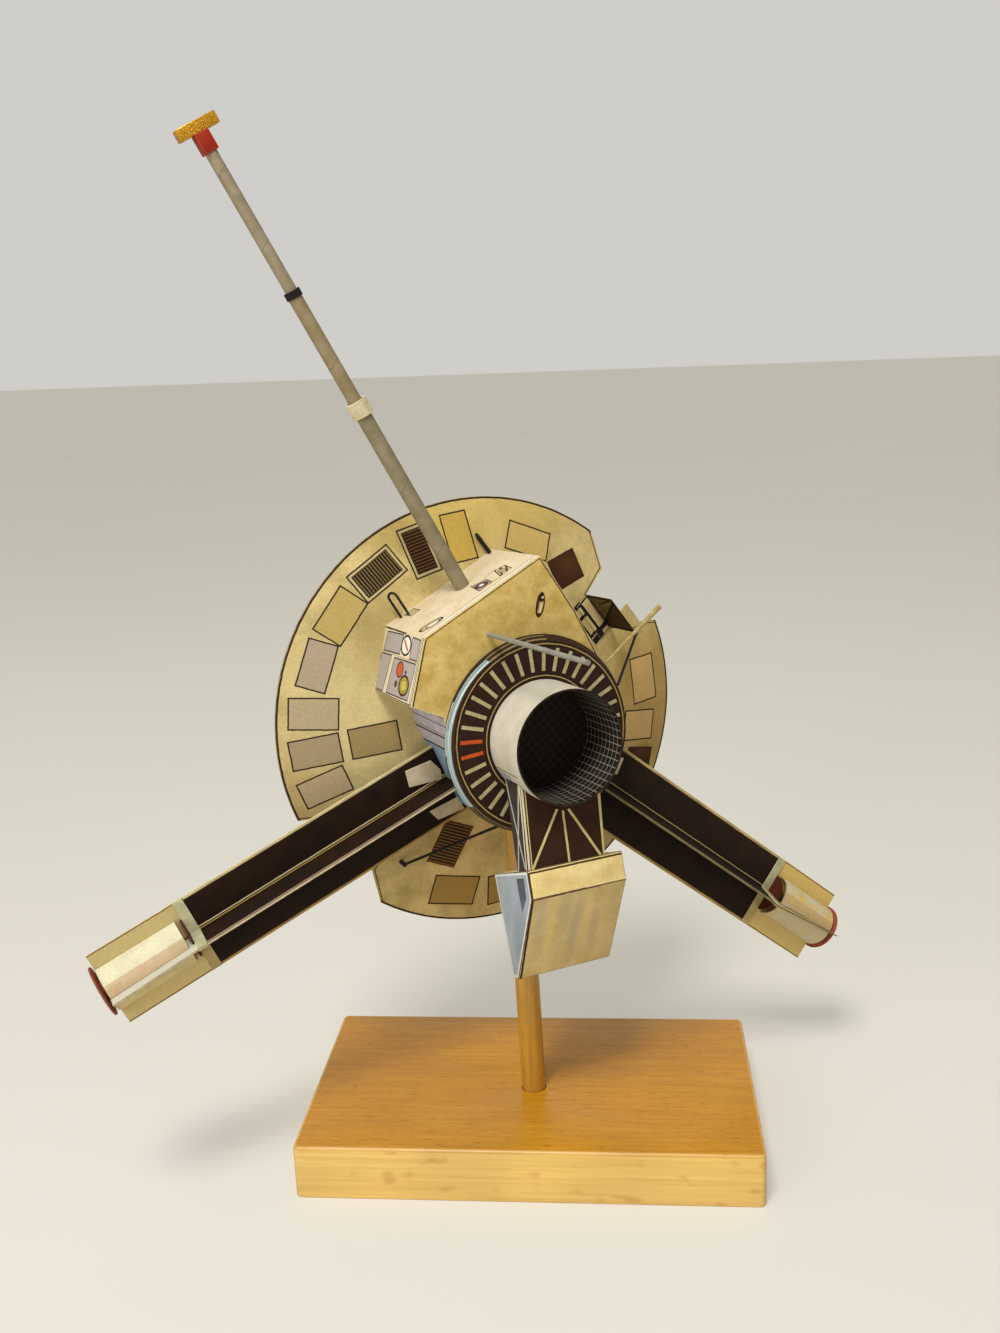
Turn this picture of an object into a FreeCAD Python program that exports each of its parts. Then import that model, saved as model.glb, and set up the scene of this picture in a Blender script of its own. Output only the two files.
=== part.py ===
import FreeCAD, Part
import math
import os

os.makedirs("parts", exist_ok=True)

# Display model of a deep-space probe, folded and glued from printed card, on a beech block with a dowel.
# The stand is drawn in the row's frame: origin under the block's middle, +X to the right, +Y to the back.
# The probe is drawn in a frame of its own: Z along its spin axis towards the open tube, X level, Y up,
# with the origin in the middle of the louvred plate. probe_to_stand() then sets it on its dowel.

V = FreeCAD.Vector

# Sheet stock and fits
CARD = 0.6
THIN_CARD = 0.4
GLUE_GAP = 0.05
FIT_GAP = 0.15
OVERRUN = 5.0

# Stand
BLOCK_WIDTH = 148.0
BLOCK_DEPTH = 84.0
BLOCK_THICKNESS = 18.0
BLOCK_CORNER_RADIUS = 2.0
BLOCK_EDGE_CHAMFER = 0.6
DOWEL_DIAMETER = 8.0
DOWEL_X = 0.4
DOWEL_Y = -4.6
DOWEL_LEAN_DEG = 1.6
DOWEL_SOCKET_DEPTH = 12.0
DOWEL_REACH_IN_BUS = 12.0

# How the probe sits on the stand
PROBE_X = 7.5
PROBE_Y = -16.2
PROBE_HEIGHT = 144.8
PROBE_TURN_DEG = 30.0
PROBE_NOSE_UP_DEG = 3.5

# Bus: a hexagonal box with an instrument bay on its upper sides
BUS_SIDES = 6
BUS_RADIUS = 30.0
BUS_TURN_DEG = 173.0
BUS_REAR_DROP = 3.5
BAY_FACE_DEG = 117.4
BAY_FACE_DISTANCE = 46.6
BAY_FACE_LEFT = 15.1
BAY_FACE_RIGHT = 29.0
BAY_CHEEK = 20.7
BAY_CHEEK_DEG = 253.7
BAY_HEEL_RADIUS = 32.0
BAY_HEEL_DEG = 162.3
BAY_SHOULDER_RADIUS = 39.9
BAY_SHOULDER_DEG = 67.4
BAY_TOE_RADIUS = 30.9
BAY_TOE_DEG = 41.2

# Dish: a shallow card cone, with a notch on each side of the bay's line
DISH_RADIUS = 71.8
DISH_RIM_DROP = 43.0
DISH_SLOPE = 0.28
NOTCH_DEEP_RADIUS = 52.5
NOTCH_SIDE_RADIUS = 63.7
NOTCH_START_DEG = 52.5
NOTCH_CORNER_DEG = 43.5
NOTCH_FAR_DEG = 27.5
NOTCH_END_DEG = 18.8
SECOND_NOTCH_TURN_DEG = 182.0

# Louvred ring and open tube
RING_BASE_RADIUS = 31.1
RING_FACE_RADIUS = 29.4
LOUVRE_PLATE_RADIUS = 28.7
TUBE_RADIUS = 17.6
TUBE_LENGTH = 18.4

# Truss and hood under the tube
TRUSS_LEFT = 14.4
TRUSS_RIGHT = 12.2
TRUSS_TOP_BACK = 0.6
TRUSS_TOP_FRONT = 11.6
TRUSS_FOOT_BACK = 6.6
HOOD_LEFT = 14.5
HOOD_RIGHT = 18.0
HOOD_TOP_BACK_Z = -10.5
HOOD_TOP_BACK_Y = 44.4
HOOD_TOP_FRONT_Z = 13.8
HOOD_TOP_FRONT_Y = 36.4
HOOD_BROW_Z = 15.8
HOOD_BROW_Y = 45.0
HOOD_FOOT_FRONT_Z = 2.6
HOOD_FOOT_BACK_Z = -0.8
HOOD_FOOT_Y = 75.0

# Power arms: a flat sheet of two plates, a front plate on its middle line and a card can over all three
LEFT_ARM_DEG = 202.9
LEFT_ARM_TILT_DEG = -2.5
LEFT_ARM_DROP = 25.4
LEFT_ARM_ROLL_DEG = 5.3
LEFT_ARM_ASIDE = 5.6
LEFT_FRONT_LEAN_DEG = -4.5
RIGHT_ARM_DEG = 321.0
RIGHT_ARM_TILT_DEG = -0.4
RIGHT_ARM_DROP = 13.4
RIGHT_ARM_ROLL_DEG = -1.5
RIGHT_ARM_ASIDE = 0.2
RIGHT_FRONT_LEAN_DEG = -13.6
ARM_TOP_WIDTH = 12.8
ARM_BOTTOM_WIDTH = 13.8
ARM_FRONT_WIDTH = 11.6
ARM_BAND_START = 114.6
ARM_BAND_WIDTH = 3.2
ARM_END = 145.9
ARM_ROOT_SINK = 8.0
CAN_RADIUS = 7.4
CAN_START = 119.8
CAN_DISC_LEAD = 1.9
CAN_DISC_RADIUS = 6.8
CAN_END_RADIUS = 8.1
CAN_END_STAND = 1.0
CAN_HUB_RADIUS = 3.0

# Root tabs: corners on the top and the bottom plate, as distances along the arm and out from its middle line
UPPER_TAB_ALONG = (27.7, 26.9, 28.5, 37.3, 38.4)
UPPER_TAB_OUT = (0.8, 4.0, 8.6, 9.9, 4.3)
LOWER_TAB_ALONG = (36.1, 25.8, 25.4, 34.7)
LOWER_TAB_OUT = (6.8, 7.6, 12.7, 11.1)

# Magnetometer boom
BOOM_ASIDE = 9.0
BOOM_DROP = 23.0
BOOM_ROOT_DIAMETER = 4.8
BOOM_MID_DIAMETER = 4.2
BOOM_TIP_DIAMETER = 3.6
BOOM_ROOT_LENGTH = 63.0
BOOM_COLLAR_LENGTH = 5.0
BOOM_COLLAR_DIAMETER = 6.6
BOOM_MID_LENGTH = 36.9
BOOM_RING_LENGTH = 2.2
BOOM_RING_DIAMETER = 5.0
BOOM_TIP_LENGTH = 42.6
SENSOR_BLOCK_LENGTH = 5.6
SENSOR_BLOCK_WIDTH = 4.3
SENSOR_BAR_LENGTH = 12.6
SENSOR_BAR_HEIGHT = 3.3
SENSOR_BAR_WIDTH = 3.3

# Rods, struts and small wires
SLIM_SIDES = 8
PROBE_ROD_X = -14.4
PROBE_ROD_Y = 33.0
PROBE_ROD_LENGTH = 62.0
PROBE_ROD_DIAMETER = 1.5
POD_ROD_FOOT_DIAMETER = 0.7
POD_ROD_HEAD_DIAMETER = 2.0
POD_ROD_FOOT_DEG = 37.0
POD_ROD_FOOT_DROP = 3.4
POD_ROD_HEAD_RADIUS = 71.4
POD_ROD_HEAD_DEG = 23.6
POD_ROD_HEAD_DROP = 36.4
RIM_STRUT_DIAMETER = 0.9
RIM_STRUT_FOOT_DEG = 21.0
RIM_STRUT_FOOT_DROP = 4.0
RIM_STRUT_HEAD_SHARE = 0.6
LOOP_WIRE_DIAMETER = 0.8
LOOP_EDGE_GAP = 1.0
LEFT_LOOP_ASIDE = 9.3
LEFT_LOOP_LENGTH = 8.6
LEFT_LOOP_WIDTH = 3.2
LEFT_LOOP_LEAN_DEG = 8.0
LEFT_LOOP_TURN_DEG = 37.0
RIGHT_LOOP_ASIDE = 26.6
RIGHT_LOOP_LENGTH = 7.6
RIGHT_LOOP_WIDTH = 1.9
RIGHT_LOOP_LEAN_DEG = 22.0
RIGHT_LOOP_TURN_DEG = 0.0
EDGE_WIRE_DIAMETER = 0.9
EDGE_WIRE_POST_DIAMETER = 1.5
EDGE_WIRE_FOOT_DEG = 231.6
EDGE_WIRE_FOOT_RADIUS = 56.6
EDGE_WIRE_RISE = 3.0
EDGE_WIRE_WALL_DEG = 263.0
EDGE_WIRE_WALL_ASIDE = 14.0
EDGE_WIRE_WALL_DROP = 16.9

# Light card tab on the notch's far edge
RIM_TAB_START = 52.6
RIM_TAB_END = 60.4
RIM_TAB_LEVEL = 22.4
RIM_TAB_REACH = 8.4
RIM_TAB_SKEW = 2.4
RIM_TAB_NEAR_SHARE = 0.33
RIM_TAB_FAR_SHARE = 0.75

# Thruster support: a card wall that stands on the notch's deep edge, and its foot on the dish
SUPPORT_WALL_HEIGHT = 17.0
SUPPORT_FOOT_WIDTH = 6.2

# Feed on the hidden side of the dish
FEED_HEIGHT = 52.0
FEED_STRUTS = 3
FEED_FOOT_RADIUS = 40.0
FEED_STRUT_DIAMETER = 1.2
FEED_HEAD_RADIUS = 4.0
FEED_HEAD_LENGTH = 8.0
FEED_CUP_RADIUS = 6.0
FEED_CUP_LENGTH = 2.4


def polar(radius, degrees, height=0):
    """A point at a radius and an angle, at a height along the spin axis."""
    angle = math.radians(degrees)
    return V(radius * math.cos(angle), radius * math.sin(angle), height)


def probe_to_stand():
    """The place and turn of the probe's own frame on the stand."""
    turn = math.radians(PROBE_TURN_DEG)
    nose = math.radians(PROBE_NOSE_UP_DEG)
    axis = V(math.sin(turn) * math.cos(nose), -math.cos(turn) * math.cos(nose), math.sin(nose))
    level = V(math.cos(turn), math.sin(turn), 0)
    up = axis.cross(level)
    return FreeCAD.Placement(V(PROBE_X, PROBE_Y, PROBE_HEIGHT), FreeCAD.Rotation(level, up, axis, "ZXY"))


def stand_to_probe(point):
    """A point of the stand's frame, given in the probe's frame."""
    return probe_to_stand().inverse().multVec(point)


def prism(corners, travel):
    """A straight prism on a closed outline of points, pushed along a vector."""
    wire = Part.makePolygon(list(corners) + [corners[0]])
    return Part.Face(wire).extrude(travel)


def rod(start, end, radius):
    """A round bar between two points."""
    along = end - start
    return Part.makeCylinder(radius, along.Length, start, along)


def pipe(start, end, outer, inner):
    """A round tube between two points."""
    along = end - start
    bore = Part.makeCylinder(inner, along.Length, start, along)
    return rod(start, end, outer).cut(bore)


def slim_outline(centre, axis, radius):
    """A regular outline square to an axis, for slim bars."""
    along = V(axis).normalize()
    first = along.cross(polar(1, PROBE_TURN_DEG, 1)).normalize()
    second = along.cross(first)
    corners = []
    for step in range(SLIM_SIDES + 1):
        spot = polar(radius, 360 * step / SLIM_SIDES)
        corners.append(centre + first * spot.x + second * spot.y)
    return Part.makePolygon(corners)


def slim_bar(start, end, start_radius, end_radius):
    """A slim straight or tapered bar between two points, for wires and sticks."""
    outlines = [slim_outline(start, end - start, start_radius), slim_outline(end, end - start, end_radius)]
    return Part.makeLoft(outlines, True, True)


def dish_height(radius, lift=0):
    """Height of the dish's back along the spin axis at a radius."""
    return -DISH_RIM_DROP + DISH_SLOPE * (DISH_RADIUS - radius) + lift


def dish_solid(lift):
    """Everything in front of a cone that lies a lift behind the dish's back, for cuts."""
    reach = DISH_RADIUS + OVERRUN
    deep = dish_height(reach, lift) - FEED_HEIGHT
    outline = [
        V(0, 0, dish_height(0, lift)),
        V(reach, 0, dish_height(reach, lift)),
        V(reach, 0, deep),
        V(0, 0, deep),
    ]
    face = Part.Face(Part.makePolygon(outline + [outline[0]]))
    return face.revolve(V(0, 0, 0), V(0, 0, 1), 360)


def hexagon():
    """Corners of the bus, on its rear face."""
    turn = 360 / BUS_SIDES
    return [polar(BUS_RADIUS, BUS_TURN_DEG + turn * step, -BUS_REAR_DROP) for step in range(BUS_SIDES)]


def bus_wall_distance():
    """Distance of the bus's walls from the spin axis."""
    return BUS_RADIUS * math.cos(math.pi / BUS_SIDES)


def bay_frame():
    """Middle of the bay's boom face and its two directions, outwards and along the face."""
    outward = polar(1, BAY_FACE_DEG)
    along = polar(1, BAY_FACE_DEG - 90)
    return outward * BAY_FACE_DISTANCE, outward, along


def bay_outline():
    """Corners of the instrument bay, on its rear face."""
    middle, outward, along = bay_frame()
    drop = V(0, 0, -BUS_REAR_DROP)
    left = middle - along * BAY_FACE_LEFT + drop
    right = middle + along * BAY_FACE_RIGHT + drop
    cheek = left + polar(BAY_CHEEK, BAY_CHEEK_DEG)
    heel = polar(BAY_HEEL_RADIUS, BAY_HEEL_DEG, -BUS_REAR_DROP)
    shoulder = polar(BAY_SHOULDER_RADIUS, BAY_SHOULDER_DEG, -BUS_REAR_DROP)
    toe = polar(BAY_TOE_RADIUS, BAY_TOE_DEG, -BUS_REAR_DROP)
    bus_corner = polar(BUS_RADIUS, BUS_TURN_DEG, -BUS_REAR_DROP)
    return [left, right, shoulder, toe, V(0, 0, -BUS_REAR_DROP), bus_corner, heel, cheek]


def dowel_ends():
    """Foot and head of the dowel in the stand's frame."""
    lean = math.radians(DOWEL_LEAN_DEG)
    direction = V(-math.sin(lean), 0, math.cos(lean))
    top = V(DOWEL_X, DOWEL_Y, BLOCK_THICKNESS)
    rise = PROBE_HEIGHT - BLOCK_THICKNESS - bus_wall_distance() + DOWEL_REACH_IN_BUS
    return top - direction * DOWEL_SOCKET_DEPTH, top + direction * rise


def dowel_bar(clearance):
    """A bar along the dowel, wider by a clearance, for the hole it sits in."""
    foot, head = dowel_ends()
    return rod(foot, head, DOWEL_DIAMETER / 2 + clearance)


def base_block():
    """The wooden block, with rounded corners, a bevelled top edge and the dowel's socket."""
    block = Part.makeBox(BLOCK_WIDTH, BLOCK_DEPTH, BLOCK_THICKNESS, V(-BLOCK_WIDTH / 2, -BLOCK_DEPTH / 2, 0))
    upright = [e for e in block.Edges if e.BoundBox.ZLength > BLOCK_THICKNESS / 2]
    block = block.makeFillet(BLOCK_CORNER_RADIUS, upright)
    top = [e for e in block.Edges if e.BoundBox.ZMin > BLOCK_THICKNESS - BLOCK_EDGE_CHAMFER / 2]
    block = block.makeChamfer(BLOCK_EDGE_CHAMFER, top)
    return block.cut(dowel_bar(FIT_GAP))


def dowel():
    """The round dowel that carries the probe."""
    return dowel_bar(0)


def bus_cuts():
    """What is cut away from bus and bay: the dish's cone and the dowel's hole."""
    foot, head = dowel_ends()
    bore = rod(stand_to_probe(foot), stand_to_probe(head), DOWEL_DIAMETER / 2 + FIT_GAP)
    return [dish_solid(GLUE_GAP), bore]


def bus_body():
    """The hexagonal box, seated on the dish's cone."""
    box = prism(hexagon(), V(0, 0, -DISH_RIM_DROP))
    for tool in bus_cuts():
        box = box.cut(tool)
    return box


def instrument_bay():
    """The bay beside the bus, with the boom's face and the slanted instrument face."""
    box = prism(bay_outline(), V(0, 0, -DISH_RIM_DROP))
    box = box.cut(prism(hexagon(), V(0, 0, -DISH_RIM_DROP)))
    for tool in bus_cuts():
        box = box.cut(tool)
    return box


def bus_envelope():
    """The room of bus and bay together, widened by a hair, for cuts against them."""
    room = prism(hexagon(), V(0, 0, -DISH_RIM_DROP)).fuse(prism(bay_outline(), V(0, 0, -DISH_RIM_DROP)))
    return room.removeSplitter()


def notch(turn):
    """One notch of the dish's rim, from outside the rim to its deep corner."""
    far = DISH_RADIUS + OVERRUN
    low = -DISH_RIM_DROP - OVERRUN
    corners = [
        polar(far, NOTCH_START_DEG + turn, low),
        polar(DISH_RADIUS, NOTCH_START_DEG + turn, low),
        polar(NOTCH_SIDE_RADIUS, NOTCH_CORNER_DEG + turn, low),
        polar(NOTCH_DEEP_RADIUS, NOTCH_CORNER_DEG + turn, low),
        polar(NOTCH_DEEP_RADIUS, NOTCH_FAR_DEG + turn, low),
        polar(DISH_RADIUS, NOTCH_END_DEG + turn, low),
        polar(far, NOTCH_END_DEG + turn, low),
    ]
    return prism(corners, V(0, 0, DISH_RIM_DROP))


def dish():
    """The card cone, with its two notches."""
    drop = CARD * math.sqrt(1 + DISH_SLOPE ** 2)
    outline = [
        V(0, 0, dish_height(0)),
        V(DISH_RADIUS, 0, dish_height(DISH_RADIUS)),
        V(DISH_RADIUS, 0, dish_height(DISH_RADIUS) - drop),
        V(0, 0, dish_height(0) - drop),
    ]
    face = Part.Face(Part.makePolygon(outline + [outline[0]]))
    shell = face.revolve(V(0, 0, 0), V(0, 0, 1), 360)
    return shell.cut(notch(0)).cut(notch(SECOND_NOTCH_TURN_DEG))


def ring_band():
    """The tapered band round the louvred plate."""
    outline = [
        V(RING_BASE_RADIUS, 0, -BUS_REAR_DROP),
        V(RING_FACE_RADIUS, 0, 0),
        V(LOUVRE_PLATE_RADIUS + GLUE_GAP, 0, 0),
        V(LOUVRE_PLATE_RADIUS + GLUE_GAP, 0, -BUS_REAR_DROP),
    ]
    face = Part.Face(Part.makePolygon(outline + [outline[0]]))
    return face.revolve(V(0, 0, 0), V(0, 0, 1), 360)


def louvre_plate():
    """The louvred plate, a flat ring round the tube."""
    plate = Part.makeCylinder(LOUVRE_PLATE_RADIUS, CARD, V(0, 0, -CARD))
    return plate.cut(Part.makeCylinder(TUBE_RADIUS + GLUE_GAP, CARD, V(0, 0, -CARD)))


def open_tube():
    """The open tube on the spin axis, glued to the bus."""
    return pipe(V(0, 0, -BUS_REAR_DROP), V(0, 0, TUBE_LENGTH), TUBE_RADIUS, TUBE_RADIUS - CARD)


def tube_floor():
    """The printed disc that closes the tube's inner end."""
    return Part.makeCylinder(TUBE_RADIUS - CARD - GLUE_GAP, CARD, V(0, 0, -BUS_REAR_DROP))


def hood_outline(side):
    """The hood's side view at a distance along X."""
    return [
        V(side, -HOOD_TOP_BACK_Y, HOOD_TOP_BACK_Z),
        V(side, -HOOD_TOP_FRONT_Y, HOOD_TOP_FRONT_Z),
        V(side, -HOOD_BROW_Y, HOOD_BROW_Z),
        V(side, -HOOD_FOOT_Y, HOOD_FOOT_FRONT_Z),
        V(side, -HOOD_FOOT_Y, HOOD_FOOT_BACK_Z),
    ]


def hood_box():
    """The closed hood that hangs under the truss."""
    return prism(hood_outline(-HOOD_LEFT), V(HOOD_LEFT + HOOD_RIGHT, 0, 0))


def hood_top_y(z):
    """Height of the hood's sloping top at a place along the spin axis."""
    slope = (HOOD_TOP_BACK_Y - HOOD_TOP_FRONT_Y) / (HOOD_TOP_FRONT_Z - HOOD_TOP_BACK_Z)
    return -HOOD_TOP_FRONT_Y - slope * (HOOD_TOP_FRONT_Z - z)


def truss_outline():
    """Side view of the truss, from inside the tube's line down to the hood."""
    front_foot = HOOD_TOP_FRONT_Z - FIT_GAP
    return [
        V(0, 0, TRUSS_TOP_BACK),
        V(0, 0, TRUSS_TOP_FRONT),
        V(0, hood_top_y(front_foot), front_foot),
        V(0, hood_top_y(TRUSS_FOOT_BACK), TRUSS_FOOT_BACK),
    ]


def truss():
    """The folded truss card: a front sheet and two side sheets, cut to sit on the tube."""
    width = TRUSS_LEFT + TRUSS_RIGHT
    lift = V(0, GLUE_GAP, 0)
    outer = [p + V(-TRUSS_LEFT, 0, 0) + lift for p in truss_outline()]
    body = prism(outer, V(width, 0, 0))
    inside = [p + V(-TRUSS_LEFT + THIN_CARD, 0, -THIN_CARD) for p in truss_outline()]
    spill = [V(0, OVERRUN, -OVERRUN), V(0, OVERRUN, 0), V(0, -OVERRUN, 0), V(0, -OVERRUN, -OVERRUN)]
    hollow = [corner + more for corner, more in zip(inside, spill)]
    body = body.cut(prism(hollow, V(width - 2 * THIN_CARD, 0, 0)))
    tube = Part.makeCylinder(TUBE_RADIUS + GLUE_GAP, TUBE_LENGTH + 2 * OVERRUN, V(0, 0, -OVERRUN))
    return body.cut(tube)


class Arm:
    """Place and directions of one power arm in the probe's frame."""

    def __init__(self, name, degrees, tilt, drop, roll, aside, lean, top_turn):
        level = polar(1, degrees)
        rise = math.radians(tilt)
        self.name = name
        self.outward = level * math.cos(rise) + V(0, 0, math.sin(rise))
        self.rear = V(0, 0, math.cos(rise)) - level * math.sin(rise)
        self.across = self.rear.cross(self.outward)
        self.line = V(0, 0, -drop) + self.across * aside
        self.roll = roll
        self.lean = lean
        self.top_turn = top_turn

    def side(self, turn):
        """Direction square to the arm, a turn away from its front plate."""
        angle = math.radians(self.roll + turn)
        return self.rear * math.cos(angle) + self.across * math.sin(angle)

    def point(self, along, turn=0, out=0):
        """A point at a distance along the arm, out by a distance at a turn."""
        return self.line + self.outward * along + self.side(turn) * out

    def front_turn(self, along):
        """Turn of the front plate: it leans up to the band and stands square at the end."""
        twist_start = ARM_BAND_START + ARM_BAND_WIDTH
        share = (ARM_END - along) / (ARM_END - twist_start)
        return self.lean * min(1, max(0, share))

    def plate(self, number, along):
        """Turn, width and inner edge of the front, top or bottom plate at a place along the arm."""
        if number == 0:
            return self.front_turn(along), ARM_FRONT_WIDTH, THIN_CARD / 2 + FIT_GAP
        if number == 1:
            return self.top_turn, ARM_TOP_WIDTH, GLUE_GAP / 2
        return -self.top_turn, ARM_BOTTOM_WIDTH, GLUE_GAP / 2


ARM_PLATES = range(3)


def plate_section(arm, number, along, half, inner):
    """Outline of a plate at a place along the arm; a wider one serves as its slot."""
    turn, width, edge = arm.plate(number, along)
    flat = arm.outward.cross(arm.side(turn)) * half
    near = arm.point(along, turn, edge if inner is None else inner)
    far = arm.point(along, turn, width)
    return Part.makePolygon([near - flat, far - flat, far + flat, near + flat, near - flat])


def plate_sheet(arm, number, places, half, inner=None):
    """A plate through several places along the arm, straight between them."""
    sections = [plate_section(arm, number, place, half, inner) for place in places]
    return Part.makeLoft(sections, True, True)


def arm_plate(arm, number):
    """One long plate of an arm, from the bus to the end of the fins."""
    places = [BUS_RADIUS - ARM_ROOT_SINK, ARM_BAND_START + ARM_BAND_WIDTH, ARM_END]
    sheet = plate_sheet(arm, number, places, THIN_CARD / 2)
    return sheet.cut(bus_envelope()).cut(ring_room())


def square_off(direction, middle):
    """The direction square to a plate, on the side of a middle direction."""
    return (middle - direction * direction.dot(middle)).normalize()


def strip_layer(arm, plates, middle, depth):
    """Three corners of a band's strip at a depth from two plates: tip, inner corner and tip."""
    start = arm.line + arm.outward * ARM_BAND_START
    tips = []
    for number in plates:
        turn, width, edge = arm.plate(number, ARM_BAND_START)
        direction = arm.side(turn)
        tips.append(start + direction * (width - FIT_GAP) + square_off(direction, middle) * depth)
    sine = math.sqrt(1 - direction.dot(middle) ** 2)
    return [tips[0], start + middle * (depth / sine), tips[1]]


def arm_corner_strip(arm, plates, middle):
    """A strip that follows one plate inwards and the next one out again."""
    inset = THIN_CARD / 2 + GLUE_GAP
    near = strip_layer(arm, plates, middle, inset)
    far = strip_layer(arm, plates, middle, inset + THIN_CARD)
    return prism(near + far[::-1], arm.outward * ARM_BAND_WIDTH)


def arm_bands(arm):
    """The cross bands: a folded strip beside the front plate on each side, and a flat one behind."""
    front = arm.side(arm.front_turn(ARM_BAND_START))
    upper = (front + arm.side(arm.top_turn)).normalize()
    lower = (front + arm.side(-arm.top_turn)).normalize()
    behind = arm.side(0) * -1
    strips = [
        arm_corner_strip(arm, (0, 1), upper),
        arm_corner_strip(arm, (0, 2), lower),
        arm_corner_strip(arm, (1, 2), behind),
    ]
    return Part.makeCompound(strips)


def cut_by_plates(arm, shape):
    """A round piece on an arm, split into its sectors by the plates."""
    places = [ARM_BAND_START, ARM_BAND_START + ARM_BAND_WIDTH, ARM_END, ARM_END + OVERRUN]
    for number in ARM_PLATES:
        shape = shape.cut(plate_sheet(arm, number, places, THIN_CARD / 2 + GLUE_GAP, -THIN_CARD / 2))
    return Part.makeCompound(shape.Solids)


def arm_can(arm):
    """The card can round the arm's line: a quarter each side of the front plate and a half behind."""
    can = pipe(arm.point(CAN_START), arm.point(ARM_END), CAN_RADIUS, CAN_RADIUS - THIN_CARD)
    return cut_by_plates(arm, can)


def arm_inner_disc(arm):
    """The disc between the band and the can, in the same sectors."""
    start = CAN_START - CAN_DISC_LEAD
    disc = rod(arm.point(start), arm.point(start + CARD), CAN_DISC_RADIUS)
    return cut_by_plates(arm, disc)


def arm_end_disc(arm):
    """The disc at the outer end, on a short hub glued to the plates."""
    face = ARM_END + GLUE_GAP
    disc = rod(arm.point(face + CAN_END_STAND), arm.point(face + CAN_END_STAND + CARD), CAN_END_RADIUS)
    hub = slim_bar(arm.point(face), arm.point(face + CAN_END_STAND), CAN_HUB_RADIUS, CAN_HUB_RADIUS)
    return disc.fuse(hub)


def root_tab(arm, turn, along, out):
    """A card tab flat on one plate's front, from corners along the arm and out from its middle line."""
    lift = arm.side(0) * (THIN_CARD / 2 + GLUE_GAP)
    corners = [arm.point(place, turn, reach) + lift for place, reach in zip(along, out)]
    return prism(corners, arm.side(0) * THIN_CARD).cut(bus_envelope())


def arm_root_tabs(arm):
    """Two tabs that tie the arm's root to the bus, above and below the front plate."""
    upper = root_tab(arm, arm.top_turn, UPPER_TAB_ALONG, UPPER_TAB_OUT)
    lower = root_tab(arm, -arm.top_turn, LOWER_TAB_ALONG, LOWER_TAB_OUT)
    return Part.makeCompound([upper, lower])


def boom_point(along, aside=0):
    """A point along the boom's line, or beside it in the bay face's direction."""
    middle, outward, level = bay_frame()
    return middle + level * (BOOM_ASIDE + aside) + outward * along + V(0, 0, -BOOM_DROP)


def boom_tube(start, end, diameter, bore):
    """One rolled tube of the boom."""
    return pipe(boom_point(start), boom_point(end), diameter / 2, bore / 2)


def boom_joints():
    """Places along the boom where its tubes meet, and its end."""
    collar = BOOM_ROOT_LENGTH
    ring = collar + BOOM_MID_LENGTH
    return collar, ring, ring + BOOM_TIP_LENGTH


def boom_root_tube():
    """The widest tube, from the bay's face into the collar."""
    collar, ring, end = boom_joints()
    return boom_tube(GLUE_GAP, collar, BOOM_ROOT_DIAMETER, BOOM_MID_DIAMETER - 2 * THIN_CARD)


def boom_mid_tube():
    """The middle tube, from the collar into the black ring."""
    collar, ring, end = boom_joints()
    return boom_tube(collar, ring, BOOM_MID_DIAMETER, BOOM_TIP_DIAMETER - 2 * THIN_CARD)


def boom_tip_tube():
    """The thin outer tube."""
    collar, ring, end = boom_joints()
    return boom_tube(ring, end, BOOM_TIP_DIAMETER, BOOM_TIP_DIAMETER - 3 * THIN_CARD)


def boom_sleeve(centre, length, diameter, below):
    """A sleeve over the joint of two tubes, bored to the wider one."""
    return boom_tube(centre - length / 2, centre + length / 2, diameter, below + 2 * GLUE_GAP)


def boom_collar():
    """The wide paper collar."""
    collar, ring, end = boom_joints()
    return boom_sleeve(collar, BOOM_COLLAR_LENGTH, BOOM_COLLAR_DIAMETER, BOOM_ROOT_DIAMETER)


def boom_ring():
    """The narrow black ring."""
    collar, ring, end = boom_joints()
    return boom_sleeve(ring, BOOM_RING_LENGTH, BOOM_RING_DIAMETER, BOOM_MID_DIAMETER)


def boom_box(start, end, width, height):
    """A box across the boom's line: width along the bay face, height along the spin axis."""
    drop = V(0, 0, height / 2)
    corners = [
        boom_point(start, -width / 2) - drop,
        boom_point(start, width / 2) - drop,
        boom_point(end, width / 2) - drop,
        boom_point(end, -width / 2) - drop,
    ]
    return prism(corners, drop * 2)


def sensor_block():
    """The red block at the boom's tip."""
    collar, ring, end = boom_joints()
    return boom_box(end, end + SENSOR_BLOCK_LENGTH, SENSOR_BLOCK_WIDTH, SENSOR_BLOCK_WIDTH)


def sensor_bar():
    """The gold cross bar on the block."""
    collar, ring, end = boom_joints()
    start = end + SENSOR_BLOCK_LENGTH
    return boom_box(start, start + SENSOR_BAR_HEIGHT, SENSOR_BAR_LENGTH, SENSOR_BAR_WIDTH)


def probe_rod():
    """The long rod that stands on the bay's rear face."""
    foot = V(PROBE_ROD_X, PROBE_ROD_Y, -BUS_REAR_DROP)
    radius = PROBE_ROD_DIAMETER / 2
    return slim_bar(foot, foot + V(0, 0, PROBE_ROD_LENGTH), radius, radius)


def ring_room():
    """The ring band as a solid drum, wider by a hair, for cuts against it."""
    foot = V(0, 0, -BUS_REAR_DROP)
    drum = Part.makeCone(RING_BASE_RADIUS + GLUE_GAP, RING_FACE_RADIUS + GLUE_GAP, BUS_REAR_DROP, foot)
    return drum.fuse(prism(hexagon(), V(0, 0, -DISH_RIM_DROP)))


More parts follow.
